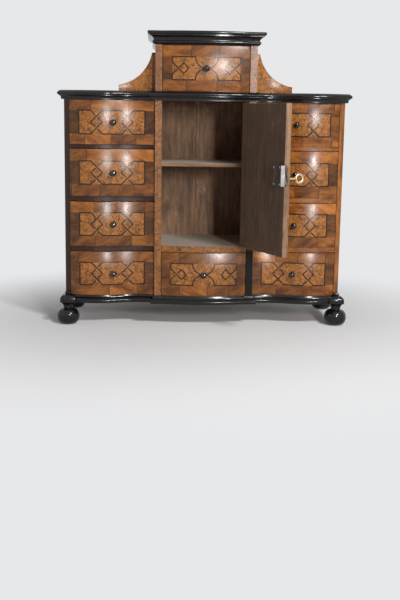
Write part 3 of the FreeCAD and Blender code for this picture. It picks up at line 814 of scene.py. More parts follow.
def new_material(name):
    """A material's tree and its Principled BSDF."""
    material = bpy.data.materials.new(name)
    material.use_nodes = True
    tree = material.node_tree
    return tree, tree.nodes["Principled BSDF"]


def bump(tree, height, strength, distance):
    """A normal from a height."""
    feeds = {"Height": height, "Strength": strength, "Distance": distance}
    return put(tree, "Bump", feeds).outputs["Normal"]


def burl_colour(tree, place):
    """Colour and figure of burl veneer."""
    tints = colours()
    figure = place_group(tree, "burl figure", {"Place": place})
    middle = [share_of(a, b, 0.45) for a, b in zip(tints.burl_light, tints.burl_dark)]
    ground = mix(tree, figure["Tone"], colour_of(middle), colour_of(tints.burl_light))
    return mix(tree, figure["Figure"], ground, colour_of(tints.burl_dark)), figure["Figure"]


def walnut_colour(tree, place):
    """Colour and pores of straight walnut whose grain runs along z."""
    tints = colours()
    grain = place_group(tree, "straight grain", {"Place": place, "Fineness": WALNUT_FINENESS})
    ground = mix(tree, grain["Streak"], colour_of(tints.walnut_dark), colour_of(tints.walnut_light))
    pores = maths(tree, "MULTIPLY", grain["Pore"], 0.4)
    return mix(tree, pores, ground, colour_of(tints.burl_dark)), grain["Pore"]


def polished(tree, shader, colour, height, place, smooth, rough):
    """Finishes a polished veneer."""
    feed(tree, shader, {
        "Base Color": colour,
        "Roughness": old_polish(tree, place, smooth, rough),
        "Specular IOR Level": VENEER_GLEAM,
        "Normal": bump(tree, height, strength=0.12, distance=0.0003),
    })


def banding_pieces(tree, across, up, which, half_height):
    """1 in the upper and lower bands, and a number that runs on along the pieces of banding."""
    level = maths(tree, "GREATER_THAN", maths(tree, "ABSOLUTE", up), half_height)
    along = mix_values(tree, level, up, across)
    beyond = mix_values(tree, level, across, up)
    pieces = maths(tree, "DIVIDE", along, sizes().banding_width)
    pieces = maths(tree, "MULTIPLY_ADD", which, PANEL_STEP, pieces)
    pieces = maths(tree, "MULTIPLY_ADD", maths(tree, "SIGN", beyond), SIDE_STEP, pieces)
    return level, maths(tree, "MULTIPLY_ADD", level, BAND_STEP, pieces)


def make_inlaid(name, pattern, half_width, half_height, panel, sideways=False, stile=False):
    """Walnut bands round a field of burl with black stringing, laid out on a panel's own places.

    Sideways sets the pattern upright. With stile, the bands' grain runs across them, and the front edge is
    plain walnut, painted nearly black on the left as the shade that the drawers standing out cast on it.
    """
    tints = colours()
    tree, shader = new_material(name)
    place = object_place(tree)
    across, up, which = parts_of(tree, panel(tree))
    if sideways:
        across, up = up, across
    inlay = place_group(tree, pattern, {
        "Panel": from_parts(tree, across, up, 0.0), "Half Width": half_width, "Half Height": half_height,
        "Line Width": sizes().line_width,
    })
    level_band, pieces = banding_pieces(tree, across, up, which, half_height)
    lengths = {"W": pieces, "Scale": 1.0}
    chance = put(tree, "TexVoronoi", lengths, voronoi_dimensions="1D").outputs["Color"]
    chance = parts_of(tree, chance)[0]
    x, y, z = parts_of(tree, place)
    lying = from_parts(tree, z, y, x)
    if stile:
        grain_place = mix_vectors(tree, level_band, lying, place)
    else:
        slant = spread(tree, chance, -BAND_SLANT, BAND_SLANT)
        turned = {"Vector": place if sideways else lying, "Angle": slant}
        grain_place = put(tree, "VectorRotate", turned, rotation_type="Y_AXIS").outputs[0]
    shift = from_parts(tree, maths(tree, "MULTIPLY", chance, 2.0), 0.0, chance)
    walnut, pores = walnut_colour(tree, vectors(tree, "ADD", grain_place, shift))
    tone = maths(tree, "MULTIPLY", spread(tree, chance, 0.55, 1.35), spread(tree, level_band, 0.5, 1.0))
    walnut = shaded(tree, walnut, tone)
    seam = put(tree, "TexVoronoi", lengths, voronoi_dimensions="1D", feature="DISTANCE_TO_EDGE")
    seam = maths(tree, "MULTIPLY", step_down(tree, seam.outputs["Distance"], 0.004, 0.014), 0.8)
    walnut = mix(tree, seam, walnut, colour_of(tints.stringing))
    colour = mix(tree, inlay["Field"], walnut, burl_colour(tree, place)[0])
    if stile:
        front = maths(tree, "LESS_THAN", parts_of(tree, surface_normal(tree))[1], FRONT_FACING)
        # Painted shade: on the left the stile's front edge is painted nearly black, the shadow of the drawers
        # standing out
        left = maths(tree, "MULTIPLY", front, maths(tree, "LESS_THAN", x, 0.0))
        colour = mix(tree, front, colour, walnut_colour(tree, place)[0])
        colour = mix(tree, left, colour, colour_of(tints.burl_dark))
    # Painted shade of the gaps round the panel, darkening its edges
    gap_shade = edge_rub_and_shade(tree, place, radius=0.003, amount=0.85)
    colour = mix(tree, gap_shade, colour, colour_of(tints.burl_dark))
    rubbed = spread(tree, noise(tree, place, scale=130.0, detail=3.0), 0.86, 1.0)
    colour = mix(tree, maths(tree, "MULTIPLY", inlay["Line"], rubbed), colour, colour_of(tints.stringing))
    height = maths(tree, "SUBTRACT", maths(tree, "MULTIPLY", inlay["Line"], -0.6), pores)
    polished(tree, shader, colour, height, place, smooth=0.2, rough=0.33)


def panel_attribute(tree):
    """The places that lay_panel keeps on a piece."""
    return put(tree, "Attribute", attribute_name="panel").outputs["Vector"]


def side_panel(centre_y, centre_z):
    """Places on an outer side of the case, measured from its middle."""
    def places(tree):
        """Front to back as across, height as up."""
        x, y, z = parts_of(tree, object_place(tree))
        across = maths(tree, "SUBTRACT", y, centre_y)
        return from_parts(tree, across, maths(tree, "SUBTRACT", z, centre_z), x)
    return places


def along_axis(tree, place, axis):
    """Coordinates whose z runs along the named axis."""
    x, y, z = parts_of(tree, place)
    turned = {"x": (z, y, x), "y": (x, z, y), "z": (x, y, z)}[axis]
    return from_parts(tree, *turned)


def make_burl(name, tone=1.0):
    """Polished burl all over."""
    tree, shader = new_material(name)
    place = object_place(tree)
    colour, figure = burl_colour(tree, place)
    height = maths(tree, "MULTIPLY", figure, -0.3)
    polished(tree, shader, shaded(tree, colour, tone), height, place, smooth=0.22, rough=0.36)


def make_walnut(name, axis):
    """Polished straight walnut with its grain along an axis."""
    tree, shader = new_material(name)
    place = object_place(tree)
    colour, pores = walnut_colour(tree, along_axis(tree, place, axis))
    height = maths(tree, "MULTIPLY", pores, -1.0)
    polished(tree, shader, colour, height, place, smooth=0.24, rough=0.4)


def board_colour(tree, place, axis):
    """Colour and pores of a bare board, with dark stains and light scuffs."""
    tints = colours()
    feeds = {"Place": along_axis(tree, place, axis), "Fineness": 1.5, "Clouds": 0.2}
    grain = place_group(tree, "straight grain", feeds)
    ground = mix(tree, grain["Streak"], colour_of(tints.board_dark), colour_of(tints.board_light))
    stains = step_up(tree, noise(tree, place, scale=14.0, detail=4.0, roughness=0.6), 0.5, 0.8)
    ground = mix(tree, maths(tree, "MULTIPLY", stains, 0.45), ground, colour_of(tints.board_dark))
    scuffs = step_up(tree, noise(tree, place, scale=26.0, detail=8.0, roughness=0.78), 0.56, 0.7)
    scuffs = maths(tree, "MULTIPLY", scuffs, 0.55)
    return mix(tree, scuffs, ground, colour_of(tints.board_scuffed)), grain["Pore"]


def edge_colour(tree, place, axis, edge):
    """Colour of a board's front edge: burl, walnut or dark."""
    if edge == "burl":
        return shaded(tree, burl_colour(tree, place)[0], 0.8)
    if edge == "walnut":
        return walnut_colour(tree, along_axis(tree, place, axis))[0]
    # A dark edge is painted shade: the shadow of the drawers that stand out above the rail
    return colour_of(colours().burl_dark)


def make_board(name, axis, edge=None, tone=1.0, gap_shade_reach=0.003, door_shadow_height=None):
    """A bare board with its grain along an axis, dusty on top; its front edge may be burl, walnut or dark.

    Painted shade of the gaps lies along the corners of that edge, as far as the given reach. A dark edge is
    painted shade, and below the given height the edge is painted nearly black as the open door's shadow.
    """
    tints = colours()
    tree, shader = new_material(name)
    place = object_place(tree)
    colour, pores = board_colour(tree, place, axis)
    rough = spread(tree, noise(tree, place, scale=60.0, detail=3.0), 0.62, 0.85)
    normal = parts_of(tree, surface_normal(tree))
    dusty = maths(tree, "MULTIPLY", step_up(tree, normal[2], 0.6, 0.95), spread(tree, rough, 0.2, 0.8))
    colour = shaded(tree, mix(tree, dusty, colour, colour_of(tints.dust)), tone)
    if edge:
        facing = edge_colour(tree, place, axis, edge)
        facing_rough = EDGE_ROUGHNESS
        # Painted shade of the gaps, darkening the corners of the front edge
        gap_shade = edge_rub_and_shade(tree, place, radius=gap_shade_reach, amount=1.0)
        facing = mix(tree, gap_shade, facing, colour_of(tints.burl_dark))
        if door_shadow_height:
            # Painted shadow of the open door: below the given height the strip's front edge goes nearly black
            # and dull
            painted_door_shadow = step_down(tree, parts_of(tree, place)[2], door_shadow_height - SHADOW_BELOW, door_shadow_height + SHADOW_ABOVE)
            facing = mix(tree, painted_door_shadow, facing, colour_of(tints.stringing))
            facing_rough = spread(tree, painted_door_shadow, EDGE_ROUGHNESS, 0.95)
        front = maths(tree, "LESS_THAN", normal[1], FRONT_FACING)
        colour = mix(tree, front, colour, facing)
        rough = mix_values(tree, front, rough, facing_rough)
    feed(tree, shader, {
        "Base Color": colour,
        "Roughness": rough,
        "Specular IOR Level": VENEER_GLEAM if edge else BOARD_GLEAM,
        "Normal": bump(tree, maths(tree, "MULTIPLY", pores, -1.0), strength=0.3, distance=0.0004),
    })


def make_ebonised(name, smooth, rough, gleam):
    """Black polish over wood, rubbed brown along its edges, with faint dust."""
    tints = colours()
    tree, shader = new_material(name)
    place = object_place(tree)
    dust = step_up(tree, noise(tree, place, scale=70.0, detail=5.0, roughness=0.7), 0.55, 0.85)
    dust_colour = (0.12, 0.115, 0.11, 1.0)
    colour = mix(tree, maths(tree, "MULTIPLY", dust, 0.06), colour_of(tints.ebony), dust_colour)
    edge_mark = edge_rub_and_shade(tree, place, radius=0.0014, amount=0.75)
    ripple = noise(tree, place, scale=300.0, detail=3.0)
    feed(tree, shader, {
        "Base Color": mix(tree, edge_mark, colour, colour_of(tints.ebony_worn)),
        "Roughness": old_polish(tree, place, smooth, rough),
        "Specular IOR Level": gleam,
        "Normal": bump(tree, ripple, strength=0.012, distance=0.0004),
    })


def make_metal(name, bright, dark, smooth, rough, cover):
    """Old metal with patina in clouds and specks, brighter along its edges."""
    tree, shader = new_material(name)
    place = object_place(tree)
    clouds = noise(tree, place, scale=120.0, detail=5.0, roughness=0.65)
    patina = maths(tree, "MULTIPLY", step_up(tree, clouds, 0.55 - cover, 0.85 - cover), 0.85)
    patina = maths(tree, "SUBTRACT", patina, edge_rub_and_shade(tree, place, radius=0.0006, amount=0.8))
    patina = maths(tree, "MAXIMUM", patina, 0.0, clamp=True)
    pits = noise(tree, place, scale=900.0, detail=3.0)
    feed(tree, shader, {
        "Base Color": mix(tree, patina, colour_of(bright), colour_of(dark)),
        "Metallic": maths(tree, "SUBTRACT", 1.0, maths(tree, "MULTIPLY", patina, 0.5)),
        "Roughness": spread(tree, patina, smooth, rough),
        "Normal": bump(tree, pits, strength=0.12, distance=0.0003),
    })


def make_finishes():
    """All shared groups and all materials of the cabinet."""
    tints = colours()
    measures = sizes()
    for make_group in (make_grain_group, make_burl_group, make_line_group, make_interlaced_group,
                       make_looped_group, make_framed_group, make_edge_mark_group, make_polish_group):
        make_group()
    strap = (measures.strap_half_width, measures.strap_half_height)
    make_inlaid("strapwork_veneer", "interlaced strapwork", *strap, panel_attribute)
    loop = (measures.loop_half_width, measures.loop_half_height)
    make_inlaid("looped_veneer", "looped strapwork", *loop, panel_attribute)
    make_inlaid("door_veneer", "interlaced strapwork", *DOOR_INLAY, panel_attribute, sideways=True)
    side_y = (SIDE_LOW[1] + SIDE_HIGH[1]) / 2
    side_z = (STRIP_LOW[2] + STRIP_HIGH[2]) / 2
    framed = side_panel(side_y + SIDE_FIELD_BACK, side_z)
    make_inlaid("side_veneer", "framed field", *SIDE_FIELD, framed, stile=True)
    make_burl("polished_burl")
    make_burl("pilaster_burl", tone=0.68)
    make_walnut("walnut_lying", "x")
    make_board("board_upright", "z")
    make_board("board_deep", "y")
    make_board("board_wide", "x")
    make_board("divider_board", "z", "burl")
    # The right strip carries the painted shadow of the open door on its low end
    make_board("door_shadow_divider_board", "z", "burl", door_shadow_height=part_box("cupboard_floor")[1][2])
    make_board("floor_board", "x", "burl")
    make_board("rail_board", "x", "walnut", gap_shade_reach=0.0055)
    # The left rails carry painted shade: their front edges are dark as the shadow of the drawers above
    make_board("drawer_shadow_rail_board", "x", "dark")
    make_board("door_board", "z", tone=0.44)
    make_board("door_cleat", "x", tone=0.46)
    make_board("door_edge", "z")
    make_ebonised("black_polish", smooth=0.1, rough=0.26, gleam=0.4)
    make_ebonised("knob_wood", smooth=0.05, rough=0.16, gleam=0.8)
    make_metal("old_iron", tints.iron, tints.iron_dark, smooth=0.35, rough=0.6, cover=0.0)
    make_metal("dark_iron", tints.case_iron, tints.iron_dark, smooth=0.5, rough=0.75, cover=0.2)
    make_metal("old_brass", tints.brass, tints.brass_dark, smooth=0.22, rough=0.5, cover=0.02)


# Pieces

SIDE_ROWS = (1, 2, 3, 4)
CENTRE_PLACES = ("bottom", "top")
CAD_FINISHES = {
    "bottom_board": "board_wide", "top_board": "walnut_lying", "left_side": "side_veneer",
    "right_side": "side_veneer", "left_divider": "divider_board", "right_divider": "door_shadow_divider_board",
    "left_dust_boards": "drawer_shadow_rail_board", "right_dust_boards": "rail_board",
    "cupboard_floor": "floor_board", "cupboard_shelf": "board_wide", "upper_sides": "pilaster_burl",
    "upper_rail": "board_wide", "upper_back": "board_upright", "upper_top": "black_polish",
    "hinge_frame_leaves": "old_iron", "hinge_door_leaves": "old_iron", "door_lock_bolt": "old_iron",
    "door_escutcheon": "old_brass",
}
# Steps of the curves along the hollow, the swell and the bow, on boards
HOLLOW_STEPS = 24
SWELL_STEPS = 36
BOW_STEPS = 48
# A face of a drawer's board belongs to its veneered front where the y of its direction is below this
FRONT_LIMIT = -0.2


def thicken(back_y):
    """Extrudes a curved front back to a flat inner face."""
    bpy.ops.mesh.select_all(action="SELECT")
    push(BACKWARDS * 0.02)
    bpy.ops.transform.resize(value=(1, 0, 1), center_override=(0, back_y, 0))
    finish_mesh()


def bay_front(name, plan, low, high):
    """A board with the right bay's serpentine front, between two corners."""
    start = plan.bay(low[0]) + UP * low[2]
    piece = draw_line(name, [start, start + UP * (high[2] - low[2])])
    spin_between(plan.hollow_centre, start, plan.turn(), HOLLOW_STEPS)
    spin_between(plan.swell_centre, plan.turn(), plan.bay(high[0]), SWELL_STEPS)
    thicken(high[1])
    return piece


def bow_front(name, plan, low, high):
    """A board with the bowed front of the centre, between two corners."""
    start = plan.bow(low[0]) + UP * low[2]
    piece = draw_line(name, [start, start + UP * (high[2] - low[2])])
    spin_between(plan.bow_centre, start, plan.bow(high[0]), BOW_STEPS)
    thicken(high[1])
    return piece


def lay_materials(piece, materials, tests=()):
    """Gives a piece its finishes; the first test picks the faces of the second finish, and so on."""
    for material in materials:
        piece.data.materials.append(bpy.data.materials[material])
    for index, test in enumerate(tests, start=1):
        open_mesh(piece)
        pick_faces(piece, test)
        piece.active_material_index = index
        bpy.ops.object.material_slot_assign()
        close_mesh()


class CABINET_OT_carcass(bpy.types.Operator):
    """Gives the boards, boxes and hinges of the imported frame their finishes"""

    bl_idname = "cabinet.carcass"
    bl_label = "Carcass finishes"

    def execute(self, context):
        make_finishes()
        finishes = dict(CAD_FINISHES)
        for node in frame["nodes"]:
            if node.endswith("_box"):
                finishes[node] = "board_deep"
        for node, finish in finishes.items():
            holder = frame["nodes"][node]
            if not holder.material_slots:
                holder.data.materials.append(None)
            for place in holder.material_slots:
                place.material = bpy.data.materials[finish]
        return {"FINISHED"}


class CABINET_OT_drawer_fronts(bpy.types.Operator):
    """Models ten veneered drawer fronts, eight serpentine and two bowed"""

    bl_idname = "cabinet.drawer_fronts"
    bl_label = "Drawer fronts"

    def execute(self, context):
        plan = FrontPlan(sizes())
        behind = [lambda normal, centre: normal.y > FRONT_LIMIT]
        for row in SIDE_ROWS:
            low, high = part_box(f"drawer_right_{row}_front")
            right = bay_front(f"serpentine_front_right_{row}", plan, low, high)
            round_edges(right, sizes().edge_round)
            lay_materials(right, ["strapwork_veneer", "walnut_lying"], behind)
            shade(right)
            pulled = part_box(f"drawer_left_{row}_front")[0][1] - low[1]
            left = copy_piece(right, f"serpentine_front_left_{row}", (0, pulled, 0), mirror=True)
            middle = middle_of(low, high)
            for piece, side, sign in ((right, "right", 1), (left, "left", -1)):
                flip = sign if row % 2 else -sign
                lay_panel(piece, sign * middle.x, middle.z, flip)
                settle(piece, f"drawer_{side}_{row}", [f"drawer_{side}_{row}_front"])
        for place in CENTRE_PLACES:
            low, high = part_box(f"drawer_{place}_centre_front")
            piece = bow_front(f"bowed_front_{place}", plan, low, high)
            round_edges(piece, sizes().edge_round)
            lay_materials(piece, ["looped_veneer", "walnut_lying"], behind)
            shade(piece)
            lay_panel(piece, 0.0, middle_of(low, high).z)
            settle(piece, f"drawer_{place}_centre", [f"drawer_{place}_centre_front"])
        return {"FINISHED"}


# Turned profiles as (radius, distance, bulge of the line that leads there), in millimetres
KNOB_PROFILE = [
    (0.0, 4.0, 0.0), (5.4, 4.0, 0.0), (5.4, -0.6, 0.0), (4.6, -1.7, 0.4), (3.1, -2.4, 0.0),
    (2.9, -4.6, -0.15), (4.2, -5.6, 0.0), (7.3, -8.6, 0.25), (7.5, -9.8, 0.2), (5.2, -14.6, 0.35),
    (1.6, -16.6, 0.25), (0.0, -17.0, 0.1),
]
KNOB_TIP = 0.017
FOOT_PROFILE = [
    (0.0, 0.0, 0.0), (14.0, 0.0, 0.0), (28.0, 20.5, 0.4), (14.2, 40.6, 0.4), (12.2, 41.4, 0.0),
    (11.6, 42.4, 0.5), (11.0, 43.2, 0.0), (11.0, 46.0, 0.0), (0.0, 46.0, 0.0),
]
FOOT_RADIUS = 0.028
# The outline of a corner block, with half its width in place of the radius
BLOCK_PROFILE = [
    (11.0, 44.0, 0.0), (17.0, 57.0, -0.25), (19.0, 57.0, 0.0), (19.0, 66.0, 0.0), (6.0, 76.5, 0.42),
    (6.4, 78.0, 0.0), (6.0, 84.0, 0.3),
]
BLOCK_ROUND = 0.0005


def profile_points(profile, steps):
    """A turned profile in metres, with its arcs; a positive bulge swells outwards."""
    corners = [Vector((radius, height)) / 1000 for radius, height, bulge in profile]
    outwards = -1 if corners[-1].y > corners[0].y else 1
    return outline_points(corners, [outwards * bulge for radius, height, bulge in profile], steps)


def turn_piece(name, place, axis, points, steps):
    """Turns a profile about an axis through a place, from which its distances count."""
    piece = draw_line(name, [place + Vector((p.x, 0, 0)) + axis * p.y for p in points])
    spin_by(place, FULL_TURN, steps, axis)
    finish_mesh()
    return piece


class CABINET_OT_knobs(bpy.types.Operator):
    """Turns one drawer knob and copies it to every drawer"""

    bl_idname = "cabinet.knobs"
    bl_label = "Drawer knobs"

    def execute(self, context):
        drawers = [f"drawer_{side}_{row}" for side in ("right", "left") for row in SIDE_ROWS]
        drawers += [f"drawer_{place}_centre" for place in CENTRE_PLACES]
        first = None
        for drawer in drawers:
            low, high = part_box(drawer + "_knob")
            place = middle_of(low, high)
            place.y = low[1] + KNOB_TIP
            name = drawer.replace("drawer_", "turned_knob_")
            if first is None:
                knob = turn_piece(name, place, BACKWARDS, profile_points(KNOB_PROFILE, 6), 40)
                shade(knob, TURNED_EDGE)
                lay_materials(knob, ["knob_wood"])
                first = (knob, place)
            else:
                knob = copy_piece(first[0], name, place - first[1])
            settle(knob, drawer, [drawer + "_knob"])
        return {"FINISHED"}


class CABINET_OT_feet(bpy.types.Operator):
    """Turns four ball feet and shapes the four corner blocks above them"""

    bl_idname = "cabinet.feet"
    bl_label = "Feet and corner blocks"

    def execute(self, context):
        low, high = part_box("ball_feet")
        front = Vector((high[0] - FOOT_RADIUS, low[1] + FOOT_RADIUS, 0))
        back = high[1] - FOOT_RADIUS - front.y
        foot = turn_piece("ball_foot", front, UP, profile_points(FOOT_PROFILE, 14), 72)
        shade(foot, TURNED_EDGE)
        lay_materials(foot, ["black_polish"])
        self.set_out(foot, back, "turned_ball_feet", "ball_feet")
        block = stepped("corner_block", front, 0.0, 0.0, profile_points(BLOCK_PROFILE, 8), BLOCK_ROUND)
        self.set_out(block, back, "shaped_corner_blocks", "corner_blocks")
        return {"FINISHED"}

    def set_out(self, piece, back, name, node):
        """Copies a corner piece to the other three corners, as one object."""
        rear = copy_piece(piece, name + "_rear", (0, back, 0))
        left = copy_piece(piece, name + "_left", mirror=True)
        rear_left = copy_piece(rear, name + "_rear_left", mirror=True)
        whole = join_pieces(name, [piece, rear, left, rear_left])
        settle(whole, "cabinet", [node])


def stepped(name, centre, half_x, half_y, points, rounding):
    """A block whose plan is a rectangle that grows by each point's reach, from the bottom up."""
    reach, height = points[0]
    deselect()
    bpy.ops.mesh.primitive_plane_add(size=2, location=(centre.x, centre.y, height))
    piece = bpy.context.object
    piece.scale = (half_x + reach, half_y + reach, 1)
    piece = name_piece(name)
    open_mesh(piece)
    for before, after in zip(points, points[1:]):
        push(UP * (after.y - before.y))
        growth = ((half_x + after.x) / (half_x + before.x), (half_y + after.x) / (half_y + before.x), 1)
        bpy.ops.transform.resize(value=growth, center_override=(centre.x, centre.y, after.y))
    finish_mesh()
    if rounding:
        round_edges(piece, rounding, angle=50.0)
    shade(piece, TURNED_EDGE)
    lay_materials(piece, ["black_polish"])
    return piece


# A gap or a lap that is too small to be seen
HAIR = 0.0001
# How far a length of moulding is run past its mitre, along the bay and along the side
MITRE_WASTE = 0.03
SIDE_WASTE = 0.02


class CABINET_OT_mouldings(bpy.types.Operator):
    """Runs the base moulding, the main cornice and the upper cornice round the case"""

    bl_idname = "cabinet.mouldings"
    bl_label = "Ebonised mouldings"

    def execute(self, context):
        plan = FrontPlan(sizes())
        for node, section in (("base_moulding", BASE_SECTION), ("main_cornice", CORNICE_SECTION)):
            low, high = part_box(node)
            reach = high[0] - HALF_WIDTH
            points = section_points(section, reach, low[2], high[2])
            lengths = [self.bow_length(plan, points)]
            depth = sizes().hollow_depth + reach
            for piece in (self.strip_break(points, depth), self.bay_length(plan, points),
                          self.side_length(plan, points)):
                lengths += [piece, copy_piece(piece, piece.name + "_left", mirror=True)]
            whole = join_pieces(node + "_lengths", lengths)
            settle(whole, "cabinet", [node])
        low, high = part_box("upper_cornice")
        points = section_points(UPPER_SECTION, high[0] - STRIP_OUTER, low[2], high[2])
        corner = self.strip_break(points, BACK_Y - FRONT_Y)
        open_mesh(corner)
        bisect_at((0, BACK_Y, 0), BACKWARDS)
        finish_mesh()
        left_corner = copy_piece(corner, "upper_break_left", mirror=True)
        whole = join_pieces("upper_cornice_lengths", [self.bow_length(plan, points), corner, left_corner])
        settle(whole, "cabinet", ["upper_cornice"])
        return {"FINISHED"}

    def section(self, name, points, wall, outward):
        """A moulding's closed section, drawn at a point of the wall."""
        outline = [wall + outward * p.x + UP * p.y for p in points]
        outline += [wall + UP * points[-1].y, wall + UP * points[0].y, outline[0]]
        return draw_line(name, outline)

    def close_length(self, piece):
        """Closes a length's ends and shades it."""
        finish_mesh()
        shade(piece, TURNED_EDGE)
        lay_materials(piece, ["black_polish"])
        return piece

    def bow_length(self, plan, points):
        """The length along the bow."""
        start = plan.bow(-STRIP_INNER)
        outward = (start - plan.bow_centre).normalized()
        piece = self.section("bow_length", points, start, outward)
        spin_between(plan.bow_centre, start, plan.bow(STRIP_INNER), BOW_STEPS)
        return self.close_length(piece)

    def strip_break(self, points, depth):
        """The break round a strip, mitred at its corners, a hair less high than the lengths that meet it."""
        lowest = points[0].y + HAIR
        highest = points[-1].y - HAIR
        trimmed = [Vector((p.x, min(max(p.y, lowest), highest))) for p in points]
        centre = Vector(((STRIP_INNER + STRIP_OUTER) / 2, FRONT_Y + depth / 2, 0))
        return stepped("strip_break", centre, (STRIP_OUTER - STRIP_INNER) / 2, depth / 2, trimmed, 0.0)

    def mitre(self, plan, points):
        """A point of the mitre at the case's front corner and the direction across it, towards the side."""
        reach = max(p.x for p in points)
        inner = plan.bay(HALF_WIDTH)
        outer = plan.bay(HALF_WIDTH + reach, reach)
        run = (outer - inner).normalized()
        return inner, Vector((-run.y, run.x, 0))

    def bay_length(self, plan, points):
        """The length along a bay, through hollow and swell to the mitre at the corner."""
        start = plan.bay(STRIP_OUTER)
        piece = self.section("bay_length", points, start, (plan.hollow_centre - start).normalized())
        spin_between(plan.hollow_centre, start, plan.turn(), 28)
        spin_between(plan.swell_centre, plan.turn(), plan.bay(HALF_WIDTH + MITRE_WASTE), 48)
        clean_mesh()
        place, across = self.mitre(plan, points)
        bisect_at(place, across)
        return self.close_length(piece)

    def side_length(self, plan, points):
        """The length along the side, from the mitre to the back."""
        place, across = self.mitre(plan, points)
        start = Vector((HALF_WIDTH, FRONT_Y - SIDE_WASTE, 0))
        piece = self.section("side_length", points, start, Vector((1, 0, 0)))
        push(BACKWARDS * (BACK_Y - start.y))
        clean_mesh()
        bisect_at(place, -across)
        return self.close_length(piece)


# How far a scroll stands behind the bay's front, its thickness, and what is run past its ends and sawn off
SCROLL_SETBACK = 0.008
SCROLL_THICKNESS = 0.014
SCROLL_WASTE = (0.008, 0.006)
# The hollow outline: its tip's width, a point on its middle from the inner lower corner, its foot's height
SCROLL_TIP = 0.0085
SCROLL_MIDDLE = (0.032, 0.0455)
SCROLL_FOOT = 0.015
SCROLL_ROUND = 0.0006


class CABINET_OT_scrolls(bpy.types.Operator):
    """Saws the two concave brackets beside the raised centre section"""

    bl_idname = "cabinet.scrolls"
    bl_label = "Scroll brackets"

    def execute(self, context):
        plan = FrontPlan(sizes())
        low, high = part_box("right_scroll")
        start = plan.bay(STRIP_OUTER - SCROLL_WASTE[0], -SCROLL_SETBACK)
        foot = start + UP * low[2]
        rise = UP * (high[2] - low[2])
        back = (start - plan.hollow_centre).normalized() * SCROLL_THICKNESS
        right = draw_line("sawn_scroll_right", [foot, foot + back, foot + back + rise, foot + rise, foot])
        end = plan.bay(high[0] + SCROLL_WASTE[1], -SCROLL_SETBACK)
        spin_between(plan.hollow_centre, start, end, HOLLOW_STEPS)
        clean_mesh()
        bisect_at((STRIP_OUTER, 0, 0), (-1, 0, 0))
        bisect_at((high[0], 0, 0), (1, 0, 0))
        finish_mesh()
        self.saw(right, low, high)
        round_edges(right, SCROLL_ROUND)
        shade(right)
        lay_materials(right, ["polished_burl"])
        left = copy_piece(right, "sawn_scroll_left", mirror=True)
        settle(right, "cabinet", ["right_scroll"])
        settle(left, "cabinet", ["left_scroll"])
        return {"FINISHED"}

    def saw(self, piece, low, high):
        """Cuts the hollow outline with a round cutter through the tip, the middle and the foot."""
        tip = Vector((STRIP_OUTER + SCROLL_TIP, high[2]))
        middle = Vector((STRIP_OUTER, low[2])) + Vector(SCROLL_MIDDLE)
        foot = Vector((high[0], low[2] + SCROLL_FOOT))
        chord = foot - tip
        half = chord.length / 2
        side = Vector((-chord.y, chord.x)).normalized()
        rise = abs((middle - tip).dot(side))
        radius = (half ** 2 + rise ** 2) / (2 * rise)
        centre = (tip + foot) / 2 + side * (radius - rise)
        deselect()
        bpy.ops.mesh.primitive_cylinder_add(
            vertices=192, radius=radius, depth=1.0, location=(centre.x, 0, centre.y),
            rotation=(RIGHT_ANGLE, 0, 0))
        cut_away(piece, name_piece("round_cutter"))


# Where the back's boards meet, and how much of their corners is planed off
BACK_JOINTS = (-0.190, -0.014, 0.165)
BACK_PLANED = 0.0012


class CABINET_OT_back(bpy.types.Operator):
    """Lays the upright boards of the back edge to edge, with their edges planed off"""

    bl_idname = "cabinet.back"
    bl_label = "Back boards"

    def execute(self, context):
        low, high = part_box("back_boards")
        stops = [low[0], *BACK_JOINTS, high[0]]
        boards = []
        for left, right in zip(stops, stops[1:]):
            board = board_between("back_board", (left, low[1], low[2]), (right, high[1], high[2]))
            close_mesh()
            round_edges(board, BACK_PLANED, segments=1)
            boards.append(board)
        whole = join_pieces("upright_back_boards", boards)
        lay_materials(whole, ["board_upright"])
        settle(whole, "cabinet", ["back_boards"])
        return {"FINISHED"}


# The door is modelled shut and then swung open

HINGE = next(joint for joint in frame["record"]["behaviour"]["joints"] if joint["name"] == "door_hinge")
DOOR_OPEN = math.radians(HINGE["range_deg"][1])
DOOR_LEFT = -STRIP_INNER + 0.0015
DOOR_RIGHT = STRIP_INNER - 0.002
DOOR_EDGE = 0.015
DOOR_CLEAT = 0.022
LOCK_WIDTH = 0.038
LOCK_DEPTH = 0.009
LOCK_PLATE = 0.002
# How far the plate reaches over the door's edge
LOCK_BITE = 0.009
# The lock's raised rim, the slope inside it and how deep its face is sunk
LOCK_RIM = 0.003
LOCK_SLOPE = 0.0012
LOCK_SINK = 0.0008
# The thickness of the lock's face, which the bolt's hole doesn't reach
LOCK_WALL = 0.0015
LOCK_ROUND = 0.0005
PLATE_ROUND = 0.0004
# A screw's place in from the lock's corners, its height, and half its slot's width, which is also its depth
SCREW_INSET = 0.0045
SCREW_HEIGHT = 0.001
SCREW_SLOT = 0.0004
SCREW_ROUND = 0.0002
# The key's place in from the door's edge, its reach in front of the door and behind its inner face
KEY_INSET = 0.024
KEY_REACH = 0.024
KEY_END = 0.0074
KEY_BOW = 0.0095
KEY_WIRE = 0.003
# How flat the wire of the bow is
KEY_FLAT = 0.8
# The angle in degrees above which the key shows an edge
KEY_EDGE = 40.0
KEY_PROFILE = [
    (0.0, 0.0, 0.0), (2.6, 0.0, 0.0), (4.5, 0.8, 0.3), (4.5, 2.2, 0.5), (2.7, 3.0, 0.0), (2.7, 4.4, 0.0),
    (3.5, 5.0, 0.4), (3.5, 6.0, 0.4), (2.5, 6.6, 0.0),
]
# The bit's place behind the door's inner face, its length along the key, its drop and half its thickness
BIT_BACK = 0.0016
BIT_LENGTH = 0.005
BIT_DROP = 0.008
BIT_HALF = 0.001
